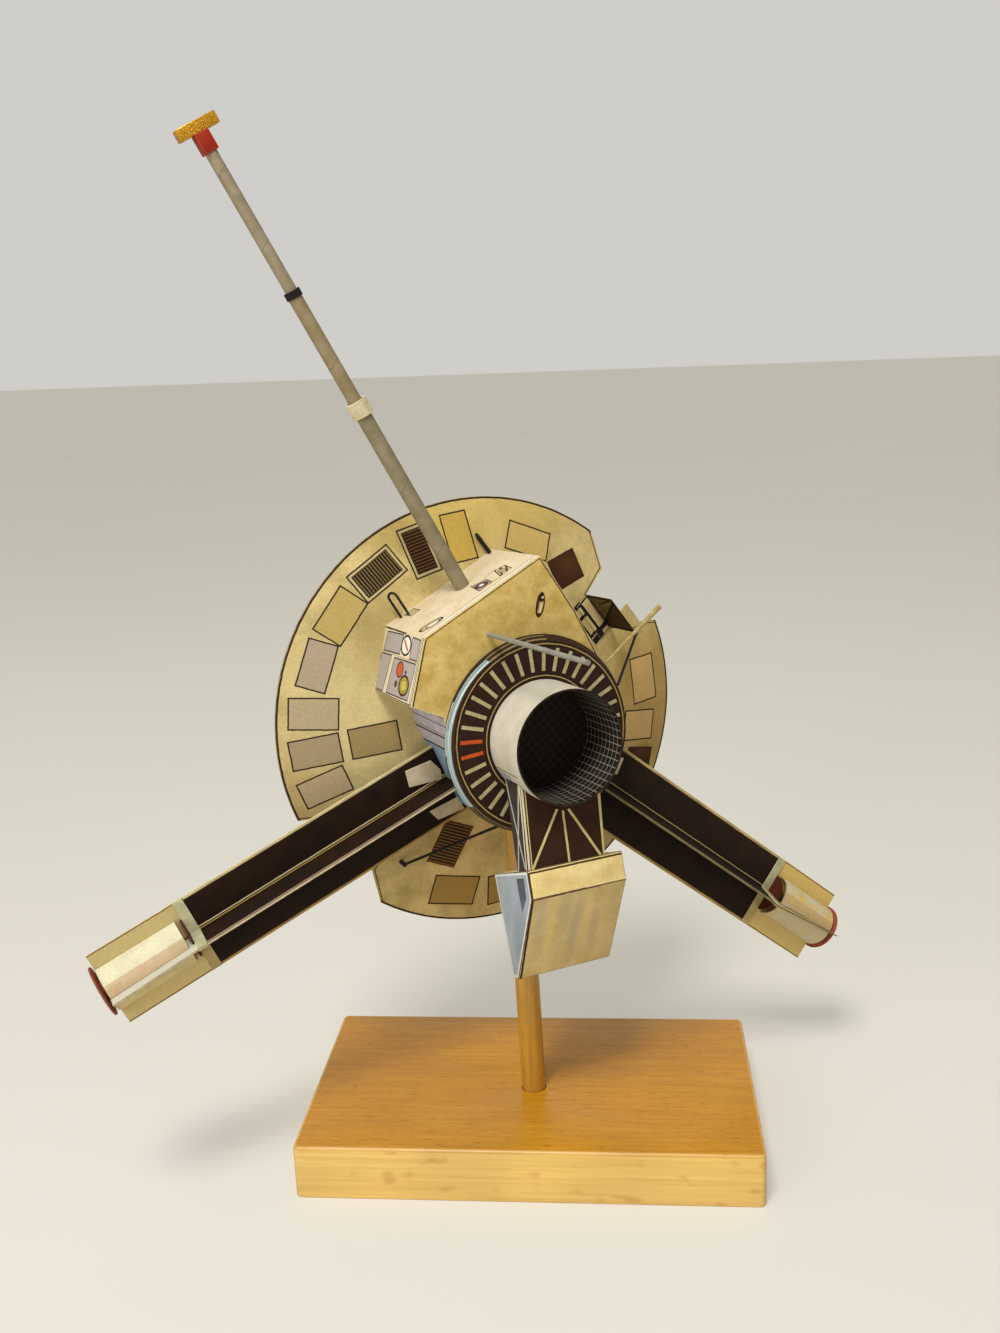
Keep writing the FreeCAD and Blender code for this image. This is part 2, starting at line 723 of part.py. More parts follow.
def pod_rod_ends():
    """Foot and head of the light rod that reaches past the dish's edge."""
    seat = RING_BASE_RADIUS + POD_ROD_FOOT_DIAMETER / 2 + GLUE_GAP
    foot = polar(seat, POD_ROD_FOOT_DEG, -POD_ROD_FOOT_DROP)
    head = polar(POD_ROD_HEAD_RADIUS, POD_ROD_HEAD_DEG, -POD_ROD_HEAD_DROP)
    return foot, head


def pod_rod():
    """The light rod, slender at the ring and thick at its outer end."""
    foot, head = pod_rod_ends()
    return slim_bar(foot, head, POD_ROD_FOOT_DIAMETER / 2, POD_ROD_HEAD_DIAMETER / 2)


def rim_strut():
    """The black strut from the ring to the light rod."""
    radius = RIM_STRUT_DIAMETER / 2
    foot = polar(RING_BASE_RADIUS + radius + GLUE_GAP, RIM_STRUT_FOOT_DEG, -RIM_STRUT_FOOT_DROP)
    start, end = pod_rod_ends()
    head = start + (end - start) * RIM_STRUT_HEAD_SHARE
    clear = slim_bar(start, end, POD_ROD_FOOT_DIAMETER / 2 + GLUE_GAP, POD_ROD_HEAD_DIAMETER / 2 + GLUE_GAP)
    pieces = slim_bar(foot, head, radius, radius).cut(clear).Solids
    return max(pieces, key=lambda solid: solid.Volume)


def wire_loop(aside, length, width, lean_deg, turn_deg):
    """A hairpin of black wire on the bay's boom face, leant towards the dish and turned on its foot."""
    middle, outward, level = bay_frame()
    lean = math.radians(lean_deg)
    rise = outward * math.cos(lean) - V(0, 0, math.sin(lean))
    turn = math.radians(turn_deg)
    upright = V(0, 0, math.cos(lean)) + outward * math.sin(lean)
    spread = upright * math.cos(turn) + level * math.sin(turn)
    corner = middle + level * aside
    radius = math.hypot(corner.x, corner.y)
    base = corner + V(0, 0, dish_height(radius, LOOP_EDGE_GAP + width)) + outward * GLUE_GAP
    half = spread * (width / 2)
    low = base - half
    high = base + half
    knee = rise * (length - width / 2)
    path = Part.Wire([
        Part.makeLine(low - rise * width, low + knee),
        Part.Arc(low + knee, base + rise * length, high + knee).toShape(),
        Part.makeLine(high + knee, high - rise * width),
    ])
    outline = slim_outline(low - rise * width, rise, LOOP_WIRE_DIAMETER / 2)
    wire = path.makePipeShell([outline], True, False)
    return wire.cut(bay_room()).cut(dish_solid(GLUE_GAP))


def bay_room():
    """The bay as a solid block, its boom face moved out by a hair, for cuts against it."""
    middle, outward, level = bay_frame()
    near = middle + outward * GLUE_GAP - level * BAY_FACE_LEFT
    far = middle + outward * GLUE_GAP + level * BAY_FACE_RIGHT
    return prism([near, far, far - outward * BAY_FACE_DISTANCE, near - outward * BAY_FACE_DISTANCE],
                 V(0, 0, -DISH_RIM_DROP - OVERRUN))


def edge_wire():
    """The black wire from the bus to the second notch, with a thicker post on the dish at its end."""
    radius = EDGE_WIRE_DIAMETER / 2
    post_radius = EDGE_WIRE_POST_DIAMETER / 2
    foot = polar(EDGE_WIRE_FOOT_RADIUS, EDGE_WIRE_FOOT_DEG, dish_height(EDGE_WIRE_FOOT_RADIUS))
    knee = foot + V(0, 0, EDGE_WIRE_RISE)
    across = polar(1, EDGE_WIRE_WALL_DEG + 90)
    middle = polar(bus_wall_distance(), EDGE_WIRE_WALL_DEG, -EDGE_WIRE_WALL_DROP)
    wall = middle + across * EDGE_WIRE_WALL_ASIDE
    inwards = (wall - knee).normalize() * radius
    run = slim_bar(knee, wall + inwards, radius, radius)
    post = slim_bar(foot - V(0, 0, radius), knee + V(0, 0, radius), post_radius, post_radius)
    wire = run.fuse(post)
    return wire.cut(prism(hexagon(), V(0, 0, -DISH_RIM_DROP))).cut(dish_solid(GLUE_GAP))


def cone_point(x, y, lift=0):
    """A point on the dish's back, from its place across the spin axis."""
    return V(x, y, dish_height(math.hypot(x, y), lift))


def rim_tab():
    """The small light card tab, glued on the dish beside the notch."""
    near = [
        cone_point(RIM_TAB_START, RIM_TAB_LEVEL),
        cone_point(RIM_TAB_END, RIM_TAB_LEVEL),
        cone_point(RIM_TAB_END - RIM_TAB_SKEW / 2, RIM_TAB_LEVEL + RIM_TAB_REACH * RIM_TAB_NEAR_SHARE),
        cone_point(RIM_TAB_START + RIM_TAB_SKEW, RIM_TAB_LEVEL + RIM_TAB_REACH),
        cone_point(RIM_TAB_START - RIM_TAB_SKEW / 2, RIM_TAB_LEVEL + RIM_TAB_REACH * RIM_TAB_FAR_SHARE),
    ]
    return prism([V(p.x, p.y, 0) for p in near], V(0, 0, -DISH_RIM_DROP - OVERRUN)).common(dish_skin())


def dish_skin():
    """A thin layer of card that lies on the dish's back."""
    top = dish_solid(GLUE_GAP + THIN_CARD)
    return top.cut(dish_solid(GLUE_GAP))


def thruster_wall():
    """The card wall on the notch's deep edge."""
    deep = NOTCH_DEEP_RADIUS - FIT_GAP
    near = polar(deep, NOTCH_CORNER_DEG)
    far = polar(deep, NOTCH_FAR_DEG)
    inwards = (polar(1, NOTCH_CORNER_DEG) + polar(1, NOTCH_FAR_DEG)).normalize() * -THIN_CARD
    top = dish_height(NOTCH_DEEP_RADIUS, SUPPORT_WALL_HEIGHT)
    corners = [near, far, far + inwards, near + inwards]
    wall = prism([p + V(0, 0, top) for p in corners], V(0, 0, -SUPPORT_WALL_HEIGHT - OVERRUN))
    return wall.cut(dish_solid(GLUE_GAP))


def thruster_foot():
    """The flap at the wall's foot, glued down on the dish towards the bus."""
    deep = NOTCH_DEEP_RADIUS - FIT_GAP
    near = polar(deep, NOTCH_CORNER_DEG)
    far = polar(deep, NOTCH_FAR_DEG)
    inwards = (polar(1, NOTCH_CORNER_DEG) + polar(1, NOTCH_FAR_DEG)).normalize() * -1
    start = inwards * (THIN_CARD + FIT_GAP)
    end = inwards * SUPPORT_FOOT_WIDTH
    corners = [near + start, far + start, far + end, near + end]
    return prism(corners, V(0, 0, -DISH_RIM_DROP - OVERRUN)).common(dish_skin())


def feed_turn(step):
    """Angle of a feed strut round the spin axis."""
    return BUS_TURN_DEG + 360 * step / FEED_STRUTS


def feed_struts():
    """Three struts from the dish's hollow side to the feed."""
    top = V(0, 0, dish_height(0) - FEED_HEIGHT)
    radius = FEED_STRUT_DIAMETER / 2
    struts = []
    for step in range(FEED_STRUTS):
        foot = polar(FEED_FOOT_RADIUS, feed_turn(step), dish_height(FEED_FOOT_RADIUS))
        head = top + polar(FEED_HEAD_RADIUS + GLUE_GAP + radius, feed_turn(step))
        struts.append(slim_bar(foot, head, radius, radius).common(dish_front_room()))
    return Part.makeCompound(struts)


def dish_front_room():
    """The room on the dish's hollow side, just clear of its card."""
    drop = CARD * math.sqrt(1 + DISH_SLOPE ** 2) + GLUE_GAP
    return dish_solid(-drop)


def feed_head():
    """The feed: a small drum with a shallow cup towards the dish."""
    middle = V(0, 0, dish_height(0) - FEED_HEIGHT)
    half = V(0, 0, FEED_HEAD_LENGTH / 2)
    drum = slim_bar(middle - half, middle + half, FEED_HEAD_RADIUS, FEED_HEAD_RADIUS)
    brim = middle + half + V(0, 0, FEED_CUP_LENGTH)
    return drum.fuse(slim_bar(middle + half, brim, FEED_HEAD_RADIUS, FEED_CUP_RADIUS))


def write(name, shape):
    """Check a piece and write it to its own file."""
    if not shape.isValid() or not shape.Solids:
        print("not valid:", name)
    solid = shape.Solids[0] if len(shape.Solids) == 1 else Part.makeCompound(shape.Solids)
    solid.exportStep("parts/" + name + ".step")


def write_probe(name, shape):
    """Set a piece of the probe on the stand and write it."""
    placed = shape.copy()
    placed.Placement = probe_to_stand().multiply(placed.Placement)
    write(name, placed)


PROBE_PIECES = {
    "bus_body": bus_body,
    "instrument_bay": instrument_bay,
    "dish": dish,
    "ring_band": ring_band,
    "louvre_plate": louvre_plate,
    "open_tube": open_tube,
    "tube_floor": tube_floor,
    "hood_box": hood_box,
    "truss": truss,
    "boom_root_tube": boom_root_tube,
    "boom_mid_tube": boom_mid_tube,
    "boom_tip_tube": boom_tip_tube,
    "boom_collar": boom_collar,
    "boom_ring": boom_ring,
    "sensor_block": sensor_block,
    "sensor_bar": sensor_bar,
    "probe_rod": probe_rod,
    "pod_rod": pod_rod,
    "rim_strut": rim_strut,
    "edge_wire": edge_wire,
    "rim_tab": rim_tab,
    "thruster_wall": thruster_wall,
    "thruster_foot": thruster_foot,
    "feed_struts": feed_struts,
    "feed_head": feed_head,
}
LEFT_ARM_PLACE = (LEFT_ARM_DEG, LEFT_ARM_TILT_DEG, LEFT_ARM_DROP, LEFT_ARM_ROLL_DEG, LEFT_ARM_ASIDE)
RIGHT_ARM_PLACE = (RIGHT_ARM_DEG, RIGHT_ARM_TILT_DEG, RIGHT_ARM_DROP, RIGHT_ARM_ROLL_DEG, RIGHT_ARM_ASIDE)
ARMS = (
    Arm("left", *LEFT_ARM_PLACE, LEFT_FRONT_LEAN_DEG, -90),
    Arm("right", *RIGHT_ARM_PLACE, RIGHT_FRONT_LEAN_DEG, 90),
)
LOOPS = {
    "left_wire_loop": (
        -LEFT_LOOP_ASIDE, LEFT_LOOP_LENGTH, LEFT_LOOP_WIDTH, LEFT_LOOP_LEAN_DEG, LEFT_LOOP_TURN_DEG,
    ),
    "right_wire_loop": (
        RIGHT_LOOP_ASIDE, RIGHT_LOOP_LENGTH, RIGHT_LOOP_WIDTH, RIGHT_LOOP_LEAN_DEG, RIGHT_LOOP_TURN_DEG,
    ),
}
ARM_PIECES = {
    "bands": arm_bands,
    "can": arm_can,
    "inner_disc": arm_inner_disc,
    "end_disc": arm_end_disc,
    "root_tabs": arm_root_tabs,
}

write("base_block", base_block())
write("dowel", dowel())
for piece_name, make in PROBE_PIECES.items():
    write_probe(piece_name, make())
for piece_name, loop in LOOPS.items():
    write_probe(piece_name, wire_loop(*loop))
for each_arm in ARMS:
    for plate_number in ARM_PLATES:
        write_probe("%s_arm_plate_%d" % (each_arm.name, plate_number + 1), arm_plate(each_arm, plate_number))
    for piece_name, make in ARM_PIECES.items():
        write_probe("%s_arm_%s" % (each_arm.name, piece_name), make(each_arm))
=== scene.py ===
import logging
import math
from dataclasses import dataclass, field
from enum import Enum
from typing import Callable, Iterable, Sequence

import bmesh
import bpy
from mathutils import Matrix, Vector, noise
from mathutils.geometry import delaunay_2d_cdt


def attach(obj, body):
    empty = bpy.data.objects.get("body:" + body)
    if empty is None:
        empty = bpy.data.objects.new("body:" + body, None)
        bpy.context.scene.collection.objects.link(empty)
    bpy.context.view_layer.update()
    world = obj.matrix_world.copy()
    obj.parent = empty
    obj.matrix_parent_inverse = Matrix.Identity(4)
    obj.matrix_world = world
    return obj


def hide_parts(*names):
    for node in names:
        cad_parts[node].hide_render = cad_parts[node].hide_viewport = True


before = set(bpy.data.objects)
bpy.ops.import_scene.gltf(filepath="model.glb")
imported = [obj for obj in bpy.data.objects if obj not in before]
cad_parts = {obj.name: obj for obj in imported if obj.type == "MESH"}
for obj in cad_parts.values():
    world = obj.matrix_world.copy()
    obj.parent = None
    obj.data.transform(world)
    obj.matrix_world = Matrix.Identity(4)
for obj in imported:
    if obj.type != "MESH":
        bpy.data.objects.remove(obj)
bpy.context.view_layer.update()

# A display model of a space probe, folded and glued from printed card, on a varnished beech block.
# Places on the probe are given in millimetres in the probe's own frame: Z along its spin axis towards
# the open tube, X level, Y up, with the origin in the middle of the louvred plate.

LOG = logging.getLogger("card_probe")
MM = 0.001
BODY = "root"
SHARP = math.radians(32)
INK = "2c1e14"
# Vertices this near in millimetres become one, and faces this near to one plane become one.
MERGE_WITHIN = 0.002
FLAT_WITHIN = math.radians(0.6)
# What delaunay_2d_cdt is asked for: triangles inside the outline only, and how near two points are one.
KEEP_INSIDE = 1
SAME_POINT = 1e-4

Colour = tuple[float, float, float, float]
Triple = tuple[float, float, float]
Pair = tuple[float, float]
Colours = tuple[str, str]
Covers = Callable[[Vector, Vector], bool]
Tree = bpy.types.NodeTree
Socket = bpy.types.NodeSocket


def linear(code: str) -> Colour:
    """Turn an sRGB hex colour into a linear one.

    Args:
        code: Six hex digits, such as "d8c890".

    Returns:
        Linear red, green, blue and an alpha of one.
    """
    channels = [int(code[i:i + 2], 16) / 255 for i in (0, 2, 4)]
    curve = [c / 12.92 if c <= 0.04045 else ((c + 0.055) / 1.055) ** 2.4 for c in channels]
    return (curve[0], curve[1], curve[2], 1.0)


def add_node(tree: Tree, kind: str, links: dict | None = None, **settings: object) -> bpy.types.Node:
    """Add one node, set it up and link its inputs.

    Args:
        tree: The node tree that gets the node.
        kind: The node's type name.
        links: For each input, by name or number, the value to set, the socket to link, or the node whose
            first output to link.
        settings: Properties of the node itself.

    Returns:
        The new node.
    """
    node = tree.nodes.new(kind)
    for key, value in settings.items():
        setattr(node, key, value)
    for key, value in (links or {}).items():
        source = value.outputs[0] if isinstance(value, bpy.types.Node) else value
        if isinstance(source, Socket):
            tree.links.new(source, node.inputs[key])
        else:
            node.inputs[key].default_value = source
    return node


def shown_rays(tree: Tree) -> Socket:
    """The rays that show a backdrop: the camera's own, and those that gloss and glass send on.

    Args:
        tree: The node tree that asks.

    Returns:
        One for such a ray, and zero for any other.
    """
    path = add_node(tree, "ShaderNodeLightPath").outputs
    seen = path["Is Camera Ray"]
    for ray in ("Is Glossy Ray", "Is Transmission Ray"):
        seen = add_node(
            tree, "ShaderNodeMath", {0: seen, 1: path[ray]}, operation="ADD", use_clamp=True,
        ).outputs[0]
    return seen


def polar(radius: float, degrees: float, height: float = 0.0) -> Vector:
    """A point at a radius and an angle round the spin axis, at a height along it."""
    angle = math.radians(degrees)
    return Vector((radius * math.cos(angle), radius * math.sin(angle), height))


@dataclass(frozen=True)
class ProbeFrame:
    """Where the probe's own frame stands in the row's frame, in millimetres and degrees."""

    x: float = 7.5
    y: float = -16.2
    height: float = 144.8
    turn: float = 30.0
    nose_up: float = 3.5

    def matrix(self) -> Matrix:
        """The matrix from the probe's millimetres to the row's metres."""
        turn = math.radians(self.turn)
        nose = math.radians(self.nose_up)
        axis = Vector((math.sin(turn) * math.cos(nose), -math.cos(turn) * math.cos(nose), math.sin(nose)))
        level = Vector((math.cos(turn), math.sin(turn), 0.0))
        up = axis.cross(level)
        turned = Matrix((level, up, axis)).transposed().to_4x4()
        return Matrix.Translation(Vector((self.x, self.y, self.height)) * MM) @ turned @ Matrix.Scale(MM, 4)


PROBE = ProbeFrame().matrix()
STAND = Matrix.Scale(MM, 4)


def face_place(origin: Sequence[float], u: Sequence[float], v: Sequence[float],
               within: Matrix = PROBE) -> Matrix:
    """The matrix from a face's own millimetres to the row's metres.

    Args:
        origin: Where the face's zero lies, in the frame that carries it.
        u: The direction in which the face's first measure grows.
        v: Roughly the direction in which its second measure grows.
        within: The frame that carries the face.

    Returns:
        The face's matrix.
    """
    first = Vector(u).normalized()
    third = first.cross(Vector(v)).normalized()
    basis = Matrix((first, third.cross(first), third)).transposed().to_4x4()
    basis.translation = Vector(origin)
    return within @ basis


class Outline(Enum):
    """The two outlines that the print is drawn with."""

    STRAIGHT = "printed_panel"
    ROUND = "printed_round"


class Unroll(Enum):
    """How a face's millimetres are laid out for its print."""

    FLAT = "across the face"
    TUBE = "arc length round the axis, then height along it"
    DISC = "arc length round the axis, then radius"


EDGES = ("Edge 1", "Edge 2", "Edge 3", "Edge 4")
# How far a shape's edge fades out where nothing else is said, in millimetres.
SOFT = 0.05


def add_inputs(tree: Tree, kind: str, *names: str) -> None:
    """Give a tree inputs of one kind, such as Float, in the order of their names."""
    for name in names:
        tree.interface.new_socket(name=name, in_out="INPUT", socket_type="NodeSocket" + kind)


def add_output(tree: Tree, kind: str, name: str) -> None:
    """Give a tree its one output."""
    tree.interface.new_socket(name=name, in_out="OUTPUT", socket_type="NodeSocket" + kind)


def shape_group(outline: Outline) -> Tree:
    """The shader group that lays one printed shape over a colour.

    Args:
        outline: Whether the shape has straight sides or is an ellipse.

    Returns:
        The group, made once and shared by all materials.
    """
    if outline.value in bpy.data.node_groups:
        return bpy.data.node_groups[outline.value]
    tree = bpy.data.node_groups.new(outline.value, "ShaderNodeTree")
    edges = EDGES if outline is Outline.STRAIGHT else EDGES[:2]
    add_inputs(tree, "Color", "Colour", "Fill", "Line", "Stripe")
    add_inputs(tree, "Vector", "Point", "Stripe Rule", *edges)
    add_inputs(tree, "Float", "Fill Share", "Half Line", "Stripe Share", "Radius", "Soft")
    add_output(tree, "Color", "Colour")
    given = add_node(tree, "NodeGroupInput").outputs
    reach = [
        add_node(
            tree, "ShaderNodeVectorMath", {0: given["Point"], 1: given[edge]}, operation="DOT_PRODUCT",
        ).outputs["Value"]
        for edge in edges
    ]
    if outline is Outline.STRAIGHT:
        beyond = reach[0]
        for side in reach[1:]:
            beyond = add_node(tree, "ShaderNodeMath", {0: beyond, 1: side}, operation="MAXIMUM").outputs[0]
    else:
        joined = add_node(tree, "ShaderNodeCombineXYZ", {0: reach[0], 1: reach[1]})
        length = add_node(tree, "ShaderNodeVectorMath", {0: joined}, operation="LENGTH").outputs["Value"]
        past = add_node(tree, "ShaderNodeMath", {0: length, 1: 1.0}, operation="SUBTRACT")
        beyond = add_node(
            tree, "ShaderNodeMath", {0: past, 1: given["Radius"]}, operation="MULTIPLY",
        ).outputs[0]
    phase = add_node(
        tree, "ShaderNodeVectorMath", {0: given["Point"], 1: given["Stripe Rule"]}, operation="DOT_PRODUCT",
    ).outputs["Value"]
    turn = add_node(tree, "ShaderNodeMath", {0: phase}, operation="FRACT")
    off_stripe = add_node(tree, "ShaderNodeMath", {0: turn, 1: given["Stripe Share"]}, operation="SUBTRACT")
    distance = add_node(tree, "ShaderNodeMath", {0: beyond}, operation="ABSOLUTE")
    off_line = add_node(tree, "ShaderNodeMath", {0: distance, 1: given["Half Line"]}, operation="SUBTRACT")
    eased = add_node(tree, "ShaderNodeMath", {0: beyond, 1: given["Soft"]}, operation="DIVIDE")
    masks = [
        add_node(
            tree, "ShaderNodeMapRange",
            {"Value": value, "From Min": -span, "From Max": span, "To Min": 1.0, "To Max": 0.0},
        )
        for value, span in ((eased, 1.0), (off_stripe, SOFT), (off_line, SOFT))
    ]
    filled = add_node(tree, "ShaderNodeMath", {0: masks[0], 1: given["Fill Share"]}, operation="MULTIPLY")
    striped = add_node(tree, "ShaderNodeMath", {0: masks[0], 1: masks[1]}, operation="MULTIPLY")
    colour = given["Colour"]
    for share, paint in ((filled, "Fill"), (striped, "Stripe"), (masks[2], "Line")):
        colour = add_node(
            tree, "ShaderNodeMix", {0: share, 6: colour, 7: given[paint]}, data_type="RGBA",
        ).outputs[2]
    add_node(tree, "NodeGroupOutput", {0: colour})
    return tree


@dataclass(frozen=True)
class Print:
    """What every printed shape has: its fill, its outline and its stripes, in millimetres."""

    fill: str | None = None
    line: str | None = INK
    width: float = 0.35
    stripe: str | None = None
    pitch: float = 1.2
    across: float = 0.0
    share: float = 0.45
    soft: float = SOFT
    cover: float = 1.0

    def outline(self) -> Outline:
        """The outline that the shape is drawn with."""
        return Outline.STRAIGHT

    def rows(self) -> list[Triple]:
        """The rows that give a point's distance from the shape."""
        return []

    def radius(self) -> float:
        """The size that turns an ellipse's own measure to millimetres."""
        return 1.0

    def lay(self, tree: Tree, colour: Socket, point: Socket) -> Socket:
        """Lay the shape over a colour.

        Args:
            tree: The material's node tree.
            colour: The colour under the shape.
            point: The face's millimetres.

        Returns:
            The colour with the shape on it.
        """
        angle = math.radians(self.across)
        inputs: dict = {
            "Colour": colour,
            "Point": point,
            "Fill": linear(self.fill or INK),
            "Fill Share": self.cover if self.fill else 0.0,
            "Soft": self.soft,
            "Line": linear(self.line or INK),
            "Half Line": self.width / 2 if self.line else -1.0,
            "Stripe": linear(self.stripe or INK),
            "Stripe Rule": (math.cos(angle) / self.pitch, math.sin(angle) / self.pitch, 0.0),
            "Stripe Share": self.share if self.stripe else -1.0,
            "Radius": self.radius(),
        }
        inputs.update(zip(EDGES, self.rows()))
        node = add_node(tree, "ShaderNodeGroup", inputs, node_tree=shape_group(self.outline()))
        return node.outputs[0]


@dataclass(frozen=True)
class Panel(Print):
    """A printed shape with three or four straight sides."""

    corners: tuple[Pair, ...] = ()

    def rows(self) -> list[Triple]:
        """One row for each side, which is zero on the side and grows outwards."""
        ring = list(zip(self.corners, self.corners[1:] + self.corners[:1]))
        area = sum(a[0] * b[1] - b[0] * a[1] for a, b in ring)
        hand = 1 if area > 0 else -1
        rows = []
        for a, b in ring:
            length = math.dist(a, b)
            x = hand * (b[1] - a[1]) / length
            y = hand * (a[0] - b[0]) / length
            rows.append((x, y, -(x * a[0] + y * a[1])))
        return rows + rows[-1:] * (len(EDGES) - len(rows))


@dataclass(frozen=True)
class Ellipse(Print):
    """A printed ellipse: its middle, half sizes and turn."""

    x: float = 0.0
    y: float = 0.0
    half_width: float = 1.0
    half_height: float = 1.0
    turn: float = 0.0

    def outline(self) -> Outline:
        """An ellipse is drawn round."""
        return Outline.ROUND

    def radius(self) -> float:
        """The mean of its half sizes."""
        return (self.half_width + self.half_height) / 2

    def rows(self) -> list[Triple]:
        """Its two axes, each one long at the outline."""
        rows = []
        for turn, half in ((self.turn, self.half_width), (self.turn + 90, self.half_height)):
            axis = polar(1 / half, turn)
            rows.append((axis.x, axis.y, -(axis.x * self.x + axis.y * self.y)))
        return rows


def box_at(x: float, y: float, width: float, height: float, turn: float = 0.0) -> tuple[Pair, ...]:
    """Corners of a rectangle from its middle, its sizes and its turn in degrees."""
    along = polar(width / 2, turn)
    up = polar(height / 2, turn + 90)
    corners = ((-1, -1), (1, -1), (1, 1), (-1, 1))
    return tuple((x + along.x * i + up.x * j, y + along.y * i + up.y * j) for i, j in corners)


def band(low: Pair, high: Pair) -> tuple[Pair, ...]:
    """Corners of an upright rectangle from its lowest and highest corner."""
    return (low, (high[0], low[1]), high, (low[0], high[1]))


def stroke(start: Pair, end: Pair, width: float, ink: str) -> Panel:
    """A drawn line from one point to another."""
    middle = ((start[0] + end[0]) / 2, (start[1] + end[1]) / 2)
    turn = math.degrees(math.atan2(end[1] - start[1], end[0] - start[0]))
    return Panel(fill=ink, line=None, corners=box_at(*middle, math.dist(start, end), width, turn))


def border(corners: Sequence[Pair], width: float, ink: str) -> list[Panel]:
    """Drawn lines along an open row of corners."""
    return [stroke(a, b, width, ink) for a, b in zip(corners, corners[1:])]


def patch(fill: str, corners: tuple[Pair, ...]) -> Panel:
    """A patch of colour with straight sides and no line."""
    return Panel(fill=fill, line=None, corners=corners)


def framed(fill: str, line: str, width: float, corners: tuple[Pair, ...]) -> Panel:
    """A patch of colour with straight sides and an inked frame."""
    return Panel(fill=fill, line=line, width=width, corners=corners)


def wash(x: float, y: float, half_width: float, half_height: float, fill: str, soft: float = SOFT,
         cover: float = 1.0, turn: float = 0.0) -> Ellipse:
    """A round patch of colour without a line. Its edge can fade, and it can let what is under it show."""
    return Ellipse(
        fill=fill, line=None, soft=soft, cover=cover, x=x, y=y, half_width=half_width,
        half_height=half_height,
        turn=turn,
    )


def port(x: float, y: float, half_width: float, half_height: float, fill: str, line: str, width: float,
         turn: float = 0.0) -> Ellipse:
    """A printed round port with an inked ring of a width in millimetres."""
    return Ellipse(
        fill=fill, line=line, width=width, x=x, y=y, half_width=half_width, half_height=half_height,
        turn=turn,
    )


@dataclass(frozen=True)
class Finish:
    """What every finish has: a name, two tones of its colour and a material that is made once."""

    name: str
    colour: str
    shade: str

    def build(self) -> bpy.types.Material:
        """Make the material, or give it again if it is made.

        Returns:
            The material, shared by every piece that wears the finish.
        """
        if self.name in bpy.data.materials:
            return bpy.data.materials[self.name]
        material = bpy.data.materials.new(self.name)
        material.use_nodes = True
        tree = material.node_tree
        tree.nodes.clear()
        place = add_node(tree, "ShaderNodeTexCoord").outputs["Object"]
        add_node(tree, "ShaderNodeOutputMaterial", {"Surface": self.shader(tree, place)})
        return material

    def shader(self, tree: Tree, place: Socket) -> Socket:
        """The finish's own nodes, which each kind of finish gives."""
        raise NotImplementedError


@dataclass(frozen=True)
class PlainCard(Finish):
    """Matt card, coloured in the pulp or painted: a soft sheet with cloudy tone and a faint fibre grain."""

    roughness: float = 0.72
    uneven: float = 0.08
    cloud: float = 9.0
    # Real fibres are finer than a pixel. At 0.8 mm their mottle just shows.
    fibre: float = 0.8
    relief: float = 0.05
    speck: float = 0.09

    def paint(self, tree: Tree, place: Socket) -> Socket:
        """The card's colour: two cloudy washes, as hand-mixed colour dries.

        Args:
            tree: The material's node tree.
            place: The piece's own coordinates.

        Returns:
            The colour.
        """
        cloud = add_node(
            tree, "ShaderNodeTexNoise",
            {"Vector": place, "Scale": 1 / (self.cloud * MM), "Detail": 3.0, "Roughness": 0.65},
        )
        spread = add_node(tree, "ShaderNodeMapRange", {"Value": cloud, "From Min": 0.35, "From Max": 0.65})
        washed = add_node(
            tree, "ShaderNodeMix",
            {0: spread, 6: linear(self.colour), 7: linear(self.shade)}, data_type="RGBA",
        )
        return washed.outputs[2]

    def shader(self, tree: Tree, place: Socket) -> Socket:
        """The card: its colour, fibre specks, an uneven sheen and a slight relief.

        Args:
            tree: The material's node tree.
            place: The piece's own coordinates.

        Returns:
            The shader.
        """
        grain = add_node(
            tree, "ShaderNodeTexNoise",
            {"Vector": place, "Scale": 1 / (self.fibre * MM), "Detail": 4.0, "Roughness": 0.7},
        )
        tone = add_node(
            tree, "ShaderNodeMapRange",
            {
                "Value": grain, "From Min": 0.3, "From Max": 0.7,
                "To Min": 1 - self.speck, "To Max": 1 + self.speck,
            },
        )
        colour = add_node(
            tree, "ShaderNodeVectorMath", {0: self.paint(tree, place), "Scale": tone}, operation="SCALE",
        )
        rough = add_node(
            tree, "ShaderNodeMapRange",
            {"Value": grain, "To Min": self.roughness - self.uneven, "To Max": self.roughness + self.uneven},
        )
        bump = add_node(
            tree, "ShaderNodeBump", {"Height": grain, "Strength": 0.35, "Distance": self.relief * MM},
        )
        return add_node(
            tree, "ShaderNodeBsdfPrincipled",
            {"Base Color": colour, "Roughness": rough, "Normal": bump, "Specular IOR Level": 0.18},
        ).outputs["BSDF"]


@dataclass(frozen=True)
class PaleFloor(PlainCard):
    """Pale studio paper under the object: a view shows it a little lighter than the lamps alone make it."""

    glow: float = 0.35

    def shader(self, tree: Tree, place: Socket) -> Socket:
        """The paper, with a share of plain pale light for the camera and for what mirrors it.

        Args:
            tree: The material's node tree.
            place: The floor's own coordinates.

        Returns:
            The shader.
        """
        paper = super().shader(tree, place)
        share = add_node(tree, "ShaderNodeMath", {0: shown_rays(tree), 1: self.glow}, operation="MULTIPLY")
        light = add_node(tree, "ShaderNodeEmission", {"Color": linear(self.colour), "Strength": 1.0})
        return add_node(tree, "ShaderNodeMixShader", {0: share, 1: paper, 2: light}).outputs[0]


